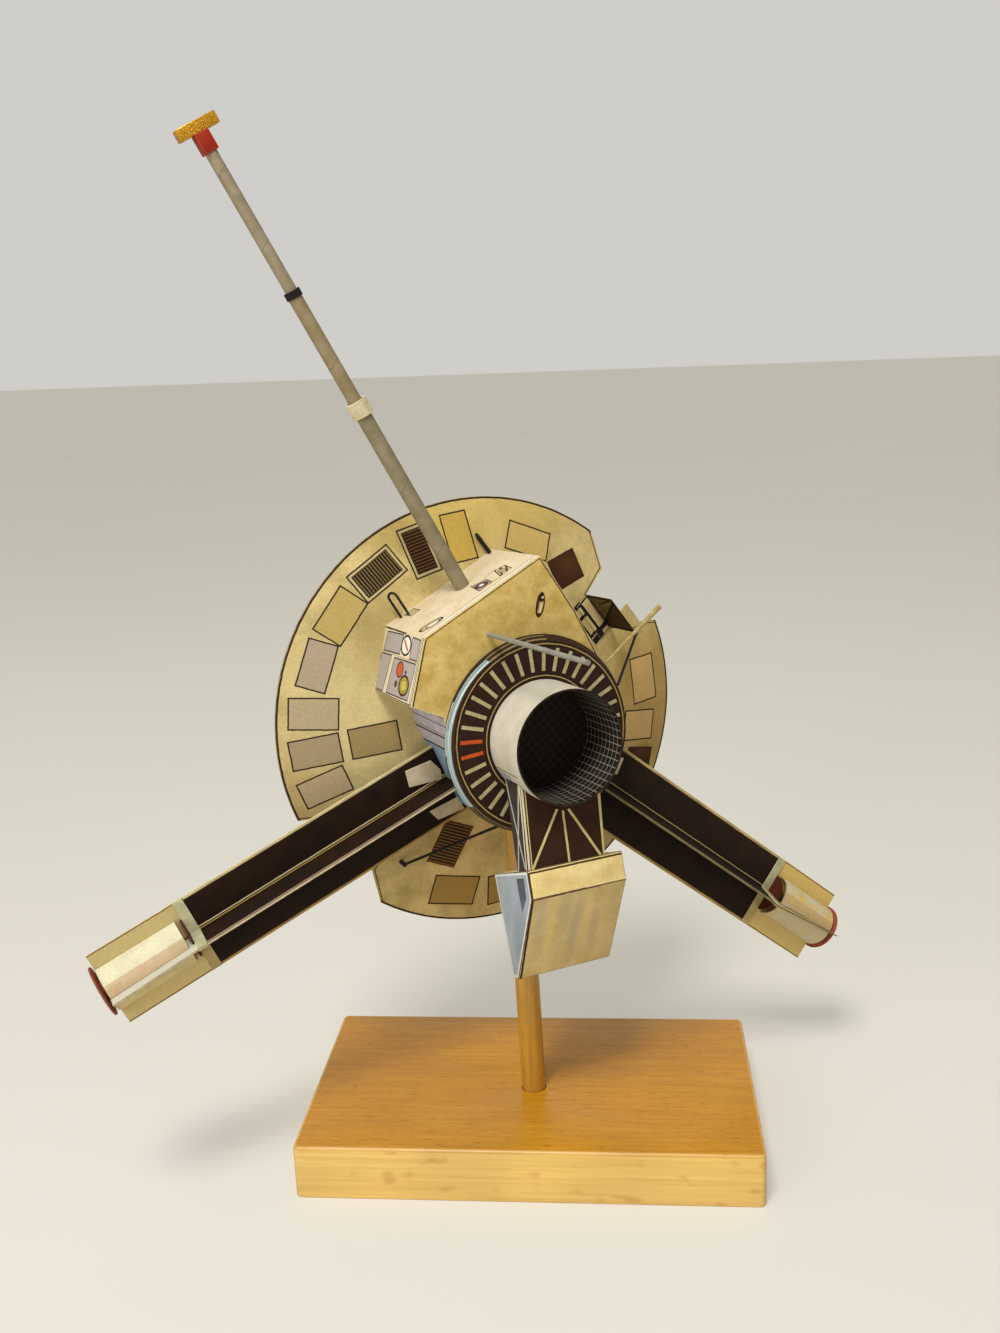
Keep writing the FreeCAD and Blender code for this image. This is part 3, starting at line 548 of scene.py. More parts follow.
@dataclass(frozen=True)
class PrintedCard(PlainCard):
    """Card with a hand-drawn print: washes of colour and small shapes, with inked outlines that waver."""

    place: Matrix = PROBE
    shapes: Sequence[Print] = ()
    unroll: Unroll = Unroll.FLAT
    reach: float = 1.0
    waver: float = 0.22
    waver_length: float = 2.5

    def paint(self, tree: Tree, place: Socket) -> Socket:
        """The washes, with every printed shape laid on them in turn.

        Args:
            tree: The material's node tree.
            place: The piece's own coordinates.

        Returns:
            The printed colour.
        """
        colour = super().paint(tree, place)
        mapped = add_node(
            tree, "ShaderNodeMapping",
            {
                "Vector": place, "Location": self.place.translation,
                "Rotation": self.place.to_euler("XYZ"), "Scale": (MM, MM, MM),
            },
            vector_type="TEXTURE",
        )
        tremble = add_node(
            tree, "ShaderNodeTexNoise",
            {"Vector": place, "Scale": 1 / (self.waver_length * MM), "Detail": 1.0},
        )
        centred = add_node(
            tree, "ShaderNodeVectorMath", {0: tremble.outputs["Color"], 1: (0.5, 0.5, 0.5)},
            operation="SUBTRACT",
        )
        moved = add_node(
            tree, "ShaderNodeVectorMath",
            {0: centred, 1: (self.waver, self.waver, self.waver), 2: mapped}, operation="MULTIPLY_ADD",
        )
        parts = add_node(tree, "ShaderNodeSeparateXYZ", {0: moved}).outputs
        first, second = parts[0], parts[1]
        if self.unroll is not Unroll.FLAT:
            angle = add_node(tree, "ShaderNodeMath", {0: parts[1], 1: parts[0]}, operation="ARCTAN2")
            first = add_node(tree, "ShaderNodeMath", {0: angle, 1: self.reach}, operation="MULTIPLY")
            flat = add_node(tree, "ShaderNodeCombineXYZ", {0: parts[0], 1: parts[1]})
            radius = add_node(tree, "ShaderNodeVectorMath", {0: flat}, operation="LENGTH").outputs["Value"]
            second = parts[2] if self.unroll is Unroll.TUBE else radius
        point = add_node(tree, "ShaderNodeCombineXYZ", {0: first, 1: second, 2: 1.0}).outputs[0]
        for shape in self.shapes:
            colour = shape.lay(tree, colour, point)
        return colour


@dataclass(frozen=True)
class Beech(Finish):
    """Beech, planed and varnished: fine straight grain with short dark pores, or ray flecks on the edges."""

    fleck: str
    grain: Triple
    fleck_size: Triple
    fleck_start: float = 0.62
    fleck_soft: float = 0.07
    fleck_share: float = 0.6
    board: Triple = (40.0, 26.0, 40.0)
    roughness: float = 0.38
    uneven: float = 0.1
    relief: float = 0.06
    varnish: float = 0.25

    def shader(self, tree: Tree, place: Socket) -> Socket:
        """The wood: grain lines, flecks and the board's own light and dark under a thin varnish.

        Args:
            tree: The material's node tree.
            place: The piece's own coordinates.

        Returns:
            The shader.
        """
        fields = []
        for size, detail in ((self.grain, 4.0), (self.fleck_size, 1.0), (self.board, 2.0)):
            scale = tuple(1 / (length * MM) for length in size)
            stretched = add_node(tree, "ShaderNodeMapping", {"Vector": place, "Scale": scale})
            noisy = {"Vector": stretched, "Scale": 1.0, "Detail": detail}
            fields.append(add_node(tree, "ShaderNodeTexNoise", noisy))
        lines, flecks, broad = fields
        grained = add_node(tree, "ShaderNodeMapRange", {"Value": lines, "From Min": 0.3, "From Max": 0.7})
        wood = add_node(
            tree, "ShaderNodeMix", {0: grained, 6: linear(self.colour), 7: linear(self.shade)},
            data_type="RGBA",
        ).outputs[2]
        marked = add_node(
            tree, "ShaderNodeMapRange",
            {
                "Value": flecks, "From Min": self.fleck_start, "From Max": self.fleck_start + self.fleck_soft,
                "To Max": self.fleck_share,
            },
        )
        dotted = add_node(
            tree, "ShaderNodeMix", {0: marked, 6: wood, 7: linear(self.fleck)}, data_type="RGBA",
        ).outputs[2]
        tone = add_node(
            tree, "ShaderNodeMapRange",
            {"Value": broad, "From Min": 0.3, "From Max": 0.7, "To Min": 0.88, "To Max": 1.08},
        )
        colour = add_node(tree, "ShaderNodeVectorMath", {0: dotted, "Scale": tone}, operation="SCALE")
        rough = add_node(
            tree, "ShaderNodeMapRange",
            {"Value": lines, "To Min": self.roughness - self.uneven, "To Max": self.roughness + self.uneven},
        )
        bump = add_node(
            tree, "ShaderNodeBump", {"Height": lines, "Strength": 0.25, "Distance": self.relief * MM},
        )
        return add_node(
            tree, "ShaderNodeBsdfPrincipled",
            {
                "Base Color": colour, "Roughness": rough, "Normal": bump,
                "Coat Weight": self.varnish, "Coat Roughness": 0.25,
            },
        ).outputs["BSDF"]


@dataclass(frozen=True)
class GlitterCard(Finish):
    """Card covered in metal foil grit: tiny tilted flakes that catch the light one by one."""

    flake: float = 0.45

    def shader(self, tree: Tree, place: Socket) -> Socket:
        """The grit: each flake with its own tone and height.

        Args:
            tree: The material's node tree.
            place: The piece's own coordinates.

        Returns:
            The shader.
        """
        flakes = add_node(tree, "ShaderNodeTexVoronoi", {"Vector": place, "Scale": 1 / (self.flake * MM)})
        value = add_node(tree, "ShaderNodeSeparateXYZ", {0: flakes.outputs["Color"]})
        colour = add_node(
            tree, "ShaderNodeMix", {0: value, 6: linear(self.colour), 7: linear(self.shade)},
            data_type="RGBA",
        ).outputs[2]
        bump = add_node(tree, "ShaderNodeBump", {"Height": value, "Strength": 0.6, "Distance": 0.1 * MM})
        return add_node(
            tree, "ShaderNodeBsdfPrincipled",
            {"Base Color": colour, "Roughness": 0.34, "Metallic": 0.6, "Normal": bump},
        ).outputs["BSDF"]


CUT_EDGE = PlainCard("card_cut_edge", "e0cfa6", "cdb98c", cloud=4.0)
WHITE_EDGE = PlainCard("card_white_edge", "e8e2d2", "d6cdb8", cloud=4.0)
BROWN_EDGE = PlainCard("card_inked_edge", "4a3524", "6a5034", cloud=3.0)
CREAM = PlainCard("plain_cream_card", "d8c795", "cbb783")
DARK_INSIDE = PlainCard("dark_card_inside", "2a1c12", "1e140e")


def anywhere(centre: Vector, normal: Vector) -> bool:
    """Every face."""
    return True


@dataclass(frozen=True)
class Coat:
    """Which faces of a piece one finish covers."""

    finish: Finish
    covers: Covers = anywhere


def facing(x: float, y: float, z: float, least: float = 0.8) -> Covers:
    """Faces that look towards a direction of their own frame."""
    direction = Vector((x, y, z)).normalized()
    return lambda centre, normal: normal.dot(direction) > least


def flat_on(x: float, y: float, z: float, least: float = 0.6) -> Covers:
    """Faces that look along a direction, either way."""
    direction = Vector((x, y, z)).normalized()
    return lambda centre, normal: abs(normal.dot(direction)) > least


def show(name: str, mesh: bpy.types.Mesh, nodes: Iterable[str]) -> bpy.types.Object:
    """Put a finished mesh in the scene as a piece of the model.

    Args:
        name: The piece's name.
        mesh: Its mesh, in the row's metres.
        nodes: The CAD nodes that it stands for.

    Returns:
        The piece.
    """
    piece = bpy.data.objects.new(name, mesh)
    bpy.context.scene.collection.objects.link(piece)
    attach(piece, BODY)
    names = list(nodes)
    if names:
        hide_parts(*names)
    LOG.info("%s: %d faces", name, len(mesh.polygons))
    return piece


def coat_faces(mesh: bmesh.types.BMesh, coats: Sequence[Coat], place: Matrix, first: int = 0) -> None:
    """Give each face the first finish that covers it.

    Args:
        mesh: The mesh, in the row's metres.
        coats: The finishes and what they cover.
        place: The frame in which faces are looked at.
        first: Faces whose material number is below this keep it.
    """
    inward = place.inverted()
    turn = inward.to_3x3()
    for face in mesh.faces:
        if face.material_index < first:
            continue
        centre = inward @ face.calc_center_median()
        normal = (turn @ face.normal).normalized()
        chosen = [number for number, coat in enumerate(coats) if coat.covers(centre, normal)]
        face.material_index = first + chosen[0]


def smooth(mesh: bpy.types.Mesh) -> bpy.types.Mesh:
    """Shade a mesh smooth, apart from its folds."""
    mesh.shade_smooth()
    mesh.set_sharp_from_angle(angle=SHARP)
    return mesh


def settle(shape: bmesh.types.BMesh, name: str, finishes: Iterable[Finish]) -> bpy.types.Mesh:
    """Turn a drafted shape into a mesh that wears its finishes.

    Args:
        shape: The draft, in the row's metres, which is used up.
        name: The mesh's name.
        finishes: Its finishes, in the order of their numbers.

    Returns:
        The mesh.
    """
    mesh = bpy.data.meshes.new(name)
    shape.to_mesh(mesh)
    shape.free()
    for finish in finishes:
        mesh.materials.append(finish.build())
    return smooth(mesh)


def dress(node: str, coats: Sequence[Coat], worn: Finish, place: Matrix = PROBE,
          fold: float = 0.12, steps: int = 2) -> bpy.types.Object:
    """Replace a CAD node with a copy that has softly worn edges and its finishes.

    Args:
        node: The CAD node.
        coats: The finishes and the faces that they cover.
        worn: The finish of the worn edges.
        place: The frame in which the faces are looked at.
        fold: How far an edge is worn round, in millimetres.
        steps: Faces across a worn edge.

    Returns:
        The piece.
    """
    shape = bmesh.new()
    shape.from_mesh(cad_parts[node].data)
    bmesh.ops.remove_doubles(shape, verts=shape.verts, dist=MERGE_WITHIN * MM)
    bmesh.ops.dissolve_limit(shape, angle_limit=FLAT_WITHIN, verts=shape.verts, edges=shape.edges)
    for face in shape.faces:
        face.material_index = 1
    sharp = [e for e in shape.edges if len(e.link_faces) == 2 and e.calc_face_angle() > SHARP]
    rounded = bmesh.ops.bevel(
        shape, geom=sharp, offset=fold * MM, segments=steps, profile=0.5, affect="EDGES", clamp_overlap=True,
    )
    for face in rounded["faces"]:
        face.material_index = 0
    shape.normal_update()
    coat_faces(shape, coats, place, first=1)
    bmesh.ops.triangulate(shape, faces=[f for f in shape.faces if len(f.verts) > 4])
    mesh = settle(shape, node + "_card", [worn] + [coat.finish for coat in coats])
    return show(node + "_card", mesh, [node])


def turned(name: str, profile: Sequence[Pair], coats: Sequence[Coat], slot: str, nodes: Iterable[str],
           place: Matrix = PROBE, steps: int = 96, edge: float = 0.06) -> bpy.types.Object:
    """A round piece turned about its own Z axis.

    Args:
        name: The piece's name.
        profile: Corners of the section as radius and height, anticlockwise; radius 0 closes on the axis.
        coats: The finishes and the faces that they cover.
        slot: A material slot name, which is not used.
        nodes: The CAD nodes that it stands for.
        place: The piece's frame.
        steps: Sides of the circle.
        edge: How far a corner of the section is eased, in millimetres.

    Returns:
        The piece.
    """
    eased = ease_corners(profile, edge)
    shape = bmesh.new()
    rings = []
    for radius, height in eased:
        if radius == 0:
            rings.append([shape.verts.new((0, 0, height))])
        else:
            rings.append([shape.verts.new(polar(radius, 360 * i / steps, height)) for i in range(steps)])
    closed = profile[0][0] > 0
    pairs = list(zip(rings, rings[1:] + rings[:1])) if closed else list(zip(rings, rings[1:]))
    for low, high in pairs:
        for i in range(steps):
            j = (i + 1) % steps
            corners = [low[i % len(low)], low[j % len(low)], high[j % len(high)], high[i % len(high)]]
            unique = list(dict.fromkeys(corners))
            if len(unique) > 2:
                shape.faces.new(unique)
    bmesh.ops.recalc_face_normals(shape, faces=shape.faces)
    shape.transform(place)
    shape.normal_update()
    coat_faces(shape, coats, place)
    return show(name, settle(shape, name, [coat.finish for coat in coats]), nodes)


def ease_corners(profile: Sequence[Pair], edge: float) -> list[Pair]:
    """Cut each corner of a section by a little, apart from those on the axis.

    Args:
        profile: The section's corners as radius and height.
        edge: How much is cut off each side of a corner, in millimetres; never over a third of the side.

    Returns:
        The corners, two for each one that is cut.
    """
    points = [Vector(p) for p in profile]
    closed = points[0].x > 0
    eased: list[Pair] = []
    for i, point in enumerate(points):
        if point.x == 0 or (not closed and i in (0, len(points) - 1)):
            eased.append((point.x, point.y))
            continue
        before = points[i - 1] - point
        after = points[(i + 1) % len(points)] - point
        for side in (before, after):
            cut = point + side.normalized() * min(edge, side.length / 3)
            eased.append((cut.x, cut.y))
    return eased


def close_tree(tree: Tree, made: Socket, finish: Socket) -> Tree:
    """End a Geometry Nodes tree: its instances become real and get their finish.

    Args:
        tree: The tree.
        made: What it has made.
        finish: The material for it.

    Returns:
        The tree.
    """
    real = add_node(tree, "GeometryNodeRealizeInstances", {"Geometry": made})
    finished = add_node(tree, "GeometryNodeSetMaterial", {"Geometry": real, "Material": finish})
    add_node(tree, "NodeGroupOutput", {0: finished})
    return tree


def fan_tree() -> Tree:
    """Geometry Nodes that set slats round a centre like the spokes of a wheel, in millimetres.

    Returns:
        The tree.
    """
    tree = bpy.data.node_groups.new("slat_fan", "GeometryNodeTree")
    add_inputs(tree, "Int", "Count")
    add_inputs(
        tree, "Float", "First Angle", "Step Angle", "Distance", "Height", "Length", "Width", "Thickness",
    )
    add_inputs(tree, "Material", "Finish")
    add_output(tree, "Geometry", "Geometry")
    given = add_node(tree, "NodeGroupInput").outputs
    size = add_node(
        tree, "ShaderNodeCombineXYZ", {0: given["Length"], 1: given["Width"], 2: given["Thickness"]},
    )
    slat = add_node(tree, "GeometryNodeMeshCube", {"Size": size})
    place = add_node(tree, "ShaderNodeCombineXYZ", {0: given["Distance"], 2: given["Height"]})
    moved = add_node(
        tree, "GeometryNodeTransform", {"Geometry": slat.outputs["Mesh"], "Translation": place},
    )
    points = add_node(tree, "GeometryNodePoints", {"Count": given["Count"]})
    index = add_node(tree, "GeometryNodeInputIndex")
    angle = add_node(
        tree, "ShaderNodeMath",
        {0: index, 1: given["Step Angle"], 2: given["First Angle"]}, operation="MULTIPLY_ADD",
    )
    turn = add_node(tree, "ShaderNodeCombineXYZ", {2: angle})
    fan = add_node(
        tree, "GeometryNodeInstanceOnPoints",
        {"Points": points, "Instance": moved, "Rotation": turn},
    )
    return close_tree(tree, fan.outputs[0], given["Finish"])


def wire_tree() -> Tree:
    """Geometry Nodes that make a round wire or a tapered stick along a path, in millimetres.

    Returns:
        The tree.
    """
    tree = bpy.data.node_groups.new("wire_on_path", "GeometryNodeTree")
    add_inputs(tree, "Geometry", "Path")
    add_inputs(tree, "Float", "Start Radius", "End Radius")
    add_inputs(tree, "Int", "Sides")
    add_inputs(tree, "Material", "Finish")
    add_output(tree, "Geometry", "Geometry")
    given = add_node(tree, "NodeGroupInput").outputs
    path = add_node(tree, "GeometryNodeMeshToCurve", {"Mesh": given["Path"]})
    along = add_node(tree, "GeometryNodeSplineParameter")
    radius = add_node(
        tree, "ShaderNodeMapRange",
        {"Value": along.outputs["Factor"], "To Min": given["Start Radius"], "To Max": given["End Radius"]},
    )
    circle = add_node(tree, "GeometryNodeCurvePrimitiveCircle", {"Resolution": given["Sides"], "Radius": 1.0})
    skin = add_node(
        tree, "GeometryNodeCurveToMesh",
        {
            "Curve": path, "Profile Curve": circle,
            "Scale": radius, "Fill Caps": True,
        },
    )
    return close_tree(tree, skin.outputs[0], given["Finish"])


def run_tree(name: str, tree: Tree, values: dict[str, object], path: Sequence[Vector] = (),
             place: Matrix = PROBE) -> bpy.types.Mesh:
    """Run a node tree on a path and keep what it makes as a plain mesh.

    Args:
        name: The mesh's name.
        tree: The tree.
        values: The value of each named input.
        path: Points that the tree works along, if it needs them.
        place: The frame that the result is moved out of.

    Returns:
        The mesh, in the row's metres.
    """
    line = bpy.data.meshes.new(name + "_path")
    line.from_pydata([tuple(p) for p in path], [(i, i + 1) for i in range(len(path) - 1)], [])
    host = bpy.data.objects.new(name + "_host", line)
    bpy.context.scene.collection.objects.link(host)
    modifier = host.modifiers.new("nodes", "NODES")
    modifier.node_group = tree
    sockets = {
        item.name: item.identifier for item in tree.interface.items_tree
        if item.item_type == "SOCKET" and item.in_out == "INPUT"
    }
    for key, value in values.items():
        modifier[sockets[key]] = value
    graph = bpy.context.evaluated_depsgraph_get()
    mesh = bpy.data.meshes.new_from_object(host.evaluated_get(graph), depsgraph=graph)
    bpy.data.objects.remove(host)
    mesh.name = name
    mesh.transform(place)
    return smooth(mesh)


@dataclass
class WireShop:
    """Makes wires and sticks from one shared node tree."""

    tree: Tree = field(default_factory=wire_tree)
    sides: int = 24

    def wire(self, name: str, path: Sequence[Vector], start: float, end: float, finish: Finish, slot: str,
             nodes: Iterable[str]) -> bpy.types.Object:
        """Make one wire.

        Args:
            name: The piece's name.
            path: The points that it follows, in the probe's millimetres.
            start: Its diameter at the first point.
            end: Its diameter at the last point.
            finish: Its finish.
            slot: A material slot name, which is not used.
            nodes: The CAD nodes that it stands for.

        Returns:
            The piece.
        """
        values = {
            "Start Radius": start / 2, "End Radius": end / 2, "Sides": self.sides, "Finish": finish.build(),
        }
        return show(name, run_tree(name, self.tree, values, path), nodes)


@dataclass
class Stand:
    """The beech block and the dowel that carries the probe."""

    edge: float = 0.35

    def dress(self) -> None:
        """Give the block its varnished top and paler edges, and the dowel its grain."""
        top = Beech(
            "beech_flat_sawn_varnished", "cc8e14", "bc7e0e", "8f5c0c",
            grain=(22.0, 1.1, 4.0), fleck_size=(4.2, 0.45, 1.0), fleck_start=0.6, fleck_share=0.55,
            varnish=0.15,
        )
        side = Beech(
            "beech_edge_with_ray_flecks", "e8c26c", "dab05a", "bf8438",
            grain=(40.0, 4.0, 1.1), fleck_size=(9.5, 7.0, 6.0), fleck_start=0.6, fleck_soft=0.1,
            fleck_share=0.5,
            roughness=0.5, varnish=0.1,
        )
        end = Beech(
            "beech_end_grain", "d8a65a", "bf8a42", "9c6a2c",
            grain=(2.0, 30.0, 1.2), fleck_size=(1.0, 0.7, 0.7), fleck_start=0.6, fleck_share=0.5,
            roughness=0.55, varnish=0.1,
        )
        worn = Beech(
            "beech_worn_edge", "dcae5c", "cb9a46", "a87830",
            grain=(20.0, 2.0, 2.0), fleck_size=(3.0, 0.5, 0.5), fleck_share=0.3, varnish=0.15,
        )
        coats = [
            Coat(top, facing(0, 0, 1)), Coat(side, flat_on(0, 1, 0)), Coat(end, flat_on(1, 0, 0)),
            Coat(side, facing(0, 0, -1)), Coat(worn),
        ]
        dress("base_block", coats, worn, place=STAND, fold=self.edge, steps=3)
        dowel = Beech(
            "beech_dowel_oiled", "cc9a3a", "b58328", "7c4f1e",
            grain=(1.3, 1.3, 22.0), fleck_size=(0.35, 0.35, 3.0), fleck_start=0.64, fleck_share=0.5,
            roughness=0.42, varnish=0.2,
        )
        dress("dowel", [Coat(dowel)], dowel, place=STAND, fold=0.3)


@dataclass
class Dish:
    """The shallow card cone with its notches, and the prints on its back."""

    radius: float = 71.8
    rim: float = -43.0
    slope: float = 0.28
    card: float = 0.6
    notch_deep: float = 52.5
    notch_side: float = 63.7
    notch_angles: tuple[float, float, float, float] = (52.5, 43.5, 27.5, 18.8)
    second_turn: float = 182.0
    arc_step: float = 2.0
    ring_step: float = 4.0
    rim_inset: float = 0.4
    edge_clear: float = 1.5
    notch_clear: float = 2.0
    wave: float = 0.3
    wave_length: float = 26.0
    wave_start: float = 45.0
    wave_reach: float = 20.0

    def back_at(self, distance: float) -> float:
        """Height of the cone's back at a distance from the axis, before the card's waves."""
        return self.rim + self.slope * (self.radius - distance)

    def height(self, x: float, y: float) -> float:
        """Height of the back at a place, with the card's slight waves outside the bus.

        Args:
            x: Millimetres along the level line.
            y: Millimetres along the line that points up.

        Returns:
            The height in millimetres.
        """
        distance = math.hypot(x, y)
        wave = self.wave * min(1.0, max(0.0, (distance - self.wave_start) / self.wave_reach))
        return self.back_at(distance) - wave * abs(noise.noise(Vector((x, y, 0)) / self.wave_length))

    def outline(self) -> list[Vector]:
        """The rim, with both notches cut into it.

        Returns:
            The outline's points, anticlockwise.
        """
        start, corner, far, end = self.notch_angles
        points: list[Vector] = []
        for turn in (0.0, self.second_turn):
            notch = [
                polar(self.radius, end + turn), polar(self.notch_deep, far + turn),
                polar(self.notch_deep, corner + turn), polar(self.notch_side, corner + turn),
                polar(self.radius, start + turn),
            ]
            for a, b in zip(notch, notch[1:]):
                pieces = max(1, round((b - a).length / 2))
                points += [a.lerp(b, i / pieces) for i in range(pieces)]
            low = start + turn
            high = end + (self.second_turn if turn == 0 else 360.0)
            count = round((high - low) / self.arc_step)
            points += [polar(self.radius, low + (high - low) * i / count) for i in range(count)]
        return points

    def inner_points(self) -> list[Vector]:
        """A polar net inside the outline, clear of its edge.

        Returns:
            The net's points.
        """
        points = [Vector((0, 0, 0))]
        rings = int(self.radius / self.ring_step)
        for ring in range(1, rings + 1):
            distance = ring * self.ring_step
            count = max(8, round(2 * math.pi * distance / self.ring_step))
            points += [polar(distance, 360 * i / count) for i in range(count)]
        start, corner, far, end = self.notch_angles
        kept = []
        for point in points:
            angle = math.degrees(math.atan2(point.y, point.x)) % 360
            in_notch = any(
                end - self.notch_clear < (angle - turn) % 360 < start + self.notch_clear
                for turn in (0.0, self.second_turn)
            )
            limit = (self.notch_deep if in_notch else self.radius) - self.edge_clear
            if point.length < limit:
                kept.append(point)
        return kept

    def panels(self) -> list[Print]:
        """The printed panels: grey and tan blankets, three louvres and dark patches, over soft washes of
        painted light and shade.

        Returns:
            The shapes, the lowest first.
        """
        warm, dark = "c5a266", "3e2008"
        # Of each blanket: its middle, width, height, turn in degrees and fill.
        plain = [
            (-59.8, 8.8, 15.1, 10.0, -6, "ac9c78"), (-42.1, -1.3, 15.2, 9.7, 6, "968052"),
            (-60.2, -3.4, 15.3, 9.5, 6, "a08c6a"), (-57.2, 23.8, 9.1, 15.4, -22, "a7967c"),
            (-48.2, 38.5, 9.8, 16.0, -39, "b29a59"), (-6.5, 59.6, 8.9, 15.5, 7, "bb9b49"),
            (18.1, 56.0, 15.5, 9.2, -22, "c5a660"), (31.1, 45.3, 10.0, 11.3, -72, dark),
            (60.0, 3.6, 10.6, 16.0, 4, warm), (57.1, -12.6, 13.6, 10.5, -8, warm),
            (57.2, -24.4, 11.4, 6.8, -12, dark), (-16.6, -58.4, 16.0, 10.5, -13, "9f8244"),
            (-1.5, -61.3, 5.6, 11.0, 2, "a08244"), (-58.2, -15.2, 15.1, 8.8, 20, "b09a74"),
        ]
        prints: list[Print] = [
            # The five washes are painted light and shade, not print: a lighter patch in the middle left, a
            # yellower patch at the top rim, darker patches at the right and lower left rim, and a painted
            # shadow of the bay at (-40, 34).
            wash(-48, 8, 22, 26, "cab986", 16.0, 0.6),
            wash(62, -8, 22, 34, "a88644", 14.0, 0.7),
            wash(4, 66, 34, 10, "c9ab55", 10.0, 0.6),
            wash(-66, -24, 10, 22, "ab8f58", 8.0, 0.55),
            wash(-40, 34, 8, 12, "968149", 7.0, 0.6),
        ]
        for x, y, width, height, turn, fill in plain:
            prints.append(framed(fill, INK, 0.5, box_at(x, y, width, height, turn)))
            if fill == dark:
                prints.append(wash(x + 1.5, y + 1.5, 3.2, 2.2, "5c3a18", 2.5, 0.5))
        # The same of each framed louvre, and the ink between its slats.
        louvres = (
            (-35.0, 50.5, 9.5, 15.9, -57, "7a6636", "1a1006"),
            (-20.4, 56.5, 8.4, 15.3, 15, "66421c", "231206"),
        )
        for x, y, width, height, turn, fill, ink in louvres:
            prints.append(framed("b9a976", INK, 0.5, box_at(x, y, width + 0.6, height + 0.6, turn)))
            prints.append(Panel(
                fill=fill, stripe=ink, pitch=1.02, across=turn + 90, share=0.66,
                corners=box_at(x, y, width - 1.6, height - 1.8, turn),
            ))
        prints.append(Panel(
            fill="74582e", line="6a3218", width=0.5, stripe="2e1a08", pitch=1.1, across=-24 + 90, share=0.6,
            corners=box_at(-18.8, -40.5, 9.9, 15.3, -24),
        ))
        return prints

    def rim_line(self) -> list[Print]:
        """The inked line round the rim."""
        edge = self.radius - self.rim_inset
        return [Ellipse(width=0.65, half_width=edge, half_height=edge)]

    def notch_lines(self) -> list[Print]:
        """The inked lines along the notches.

        Returns:
            The lines of both notches.
        """
        start, corner, far, end = self.notch_angles
        lines: list[Print] = []
        for turn in (0.0, self.second_turn):
            deep, side = self.notch_deep - 0.7, self.notch_side - 0.4
            row = [
                polar(self.radius, end - 0.6 + turn), polar(deep, far - 0.6 + turn),
                polar(deep, corner + 0.6 + turn), polar(side, corner + 0.7 + turn),
                polar(self.radius, start + 0.6 + turn),
            ]
            lines += border([(p.x, p.y) for p in row], 0.4, "5a3a22")
        return lines

    def build(self) -> None:
        """Make the cone as one closed sheet of card."""
        outline = self.outline()
        inner = self.inner_points()
        flat = [p.to_2d() for p in outline + inner]
        ring = [(i, (i + 1) % len(outline)) for i in range(len(outline))]
        places, _, faces, *_ = delaunay_2d_cdt(flat, ring, [], KEEP_INSIDE, SAME_POINT)
        drop = self.card * math.sqrt(1 + self.slope ** 2)
        shape = bmesh.new()
        back = [shape.verts.new((p.x, p.y, self.height(p.x, p.y))) for p in places]
        front = [shape.verts.new((p.x, p.y, self.height(p.x, p.y) - drop)) for p in places]
        for corners in faces:
            upper = shape.faces.new([back[i] for i in corners])
            lower = shape.faces.new([front[i] for i in reversed(corners)])
            upper.material_index = 0
            lower.material_index = 1
        for edge in [e for e in shape.edges if len(e.link_faces) == 1 and e.verts[0] in set(back)]:
            a, b = edge.verts
            i, j = back.index(a), back.index(b)
            wall = shape.faces.new([b, a, front[i], front[j]])
            wall.material_index = 2
        bmesh.ops.recalc_face_normals(shape, faces=shape.faces)
        shape.transform(PROBE)
        printed = PrintedCard(
            "printed_card_dish_back", "d2bb7e", "ac985f", cloud=12.0, speck=0.13,
            shapes=self.panels() + Support().lattice() + self.rim_line() + self.notch_lines(),
        )
        hollow = PlainCard("plain_card_dish_front", "e2dccb", "d5ccb6", cloud=30.0)
        # The rim's cut edge is dark brown: partly the ink of the rim line, partly painted shade.
        rim = PlainCard("card_cut_edge_dish_inked_and_shaded", "94785a", "7c5c42", cloud=5.0)
        show("dish_card", settle(shape, "dish_card", [printed, hollow, rim]), ["dish"])


@dataclass(frozen=True)
class BoomFace:
    """The bay's outer face, which carries the boom and both wire loops."""

    angle: float = 117.4
    distance: float = 46.6

    def outward(self) -> Vector:
        """The direction in which the face looks."""
        return polar(1, self.angle)

    def along(self) -> Vector:
        """The level direction along the face."""
        return polar(1, self.angle - 90)


BOOM_FACE = BoomFace()


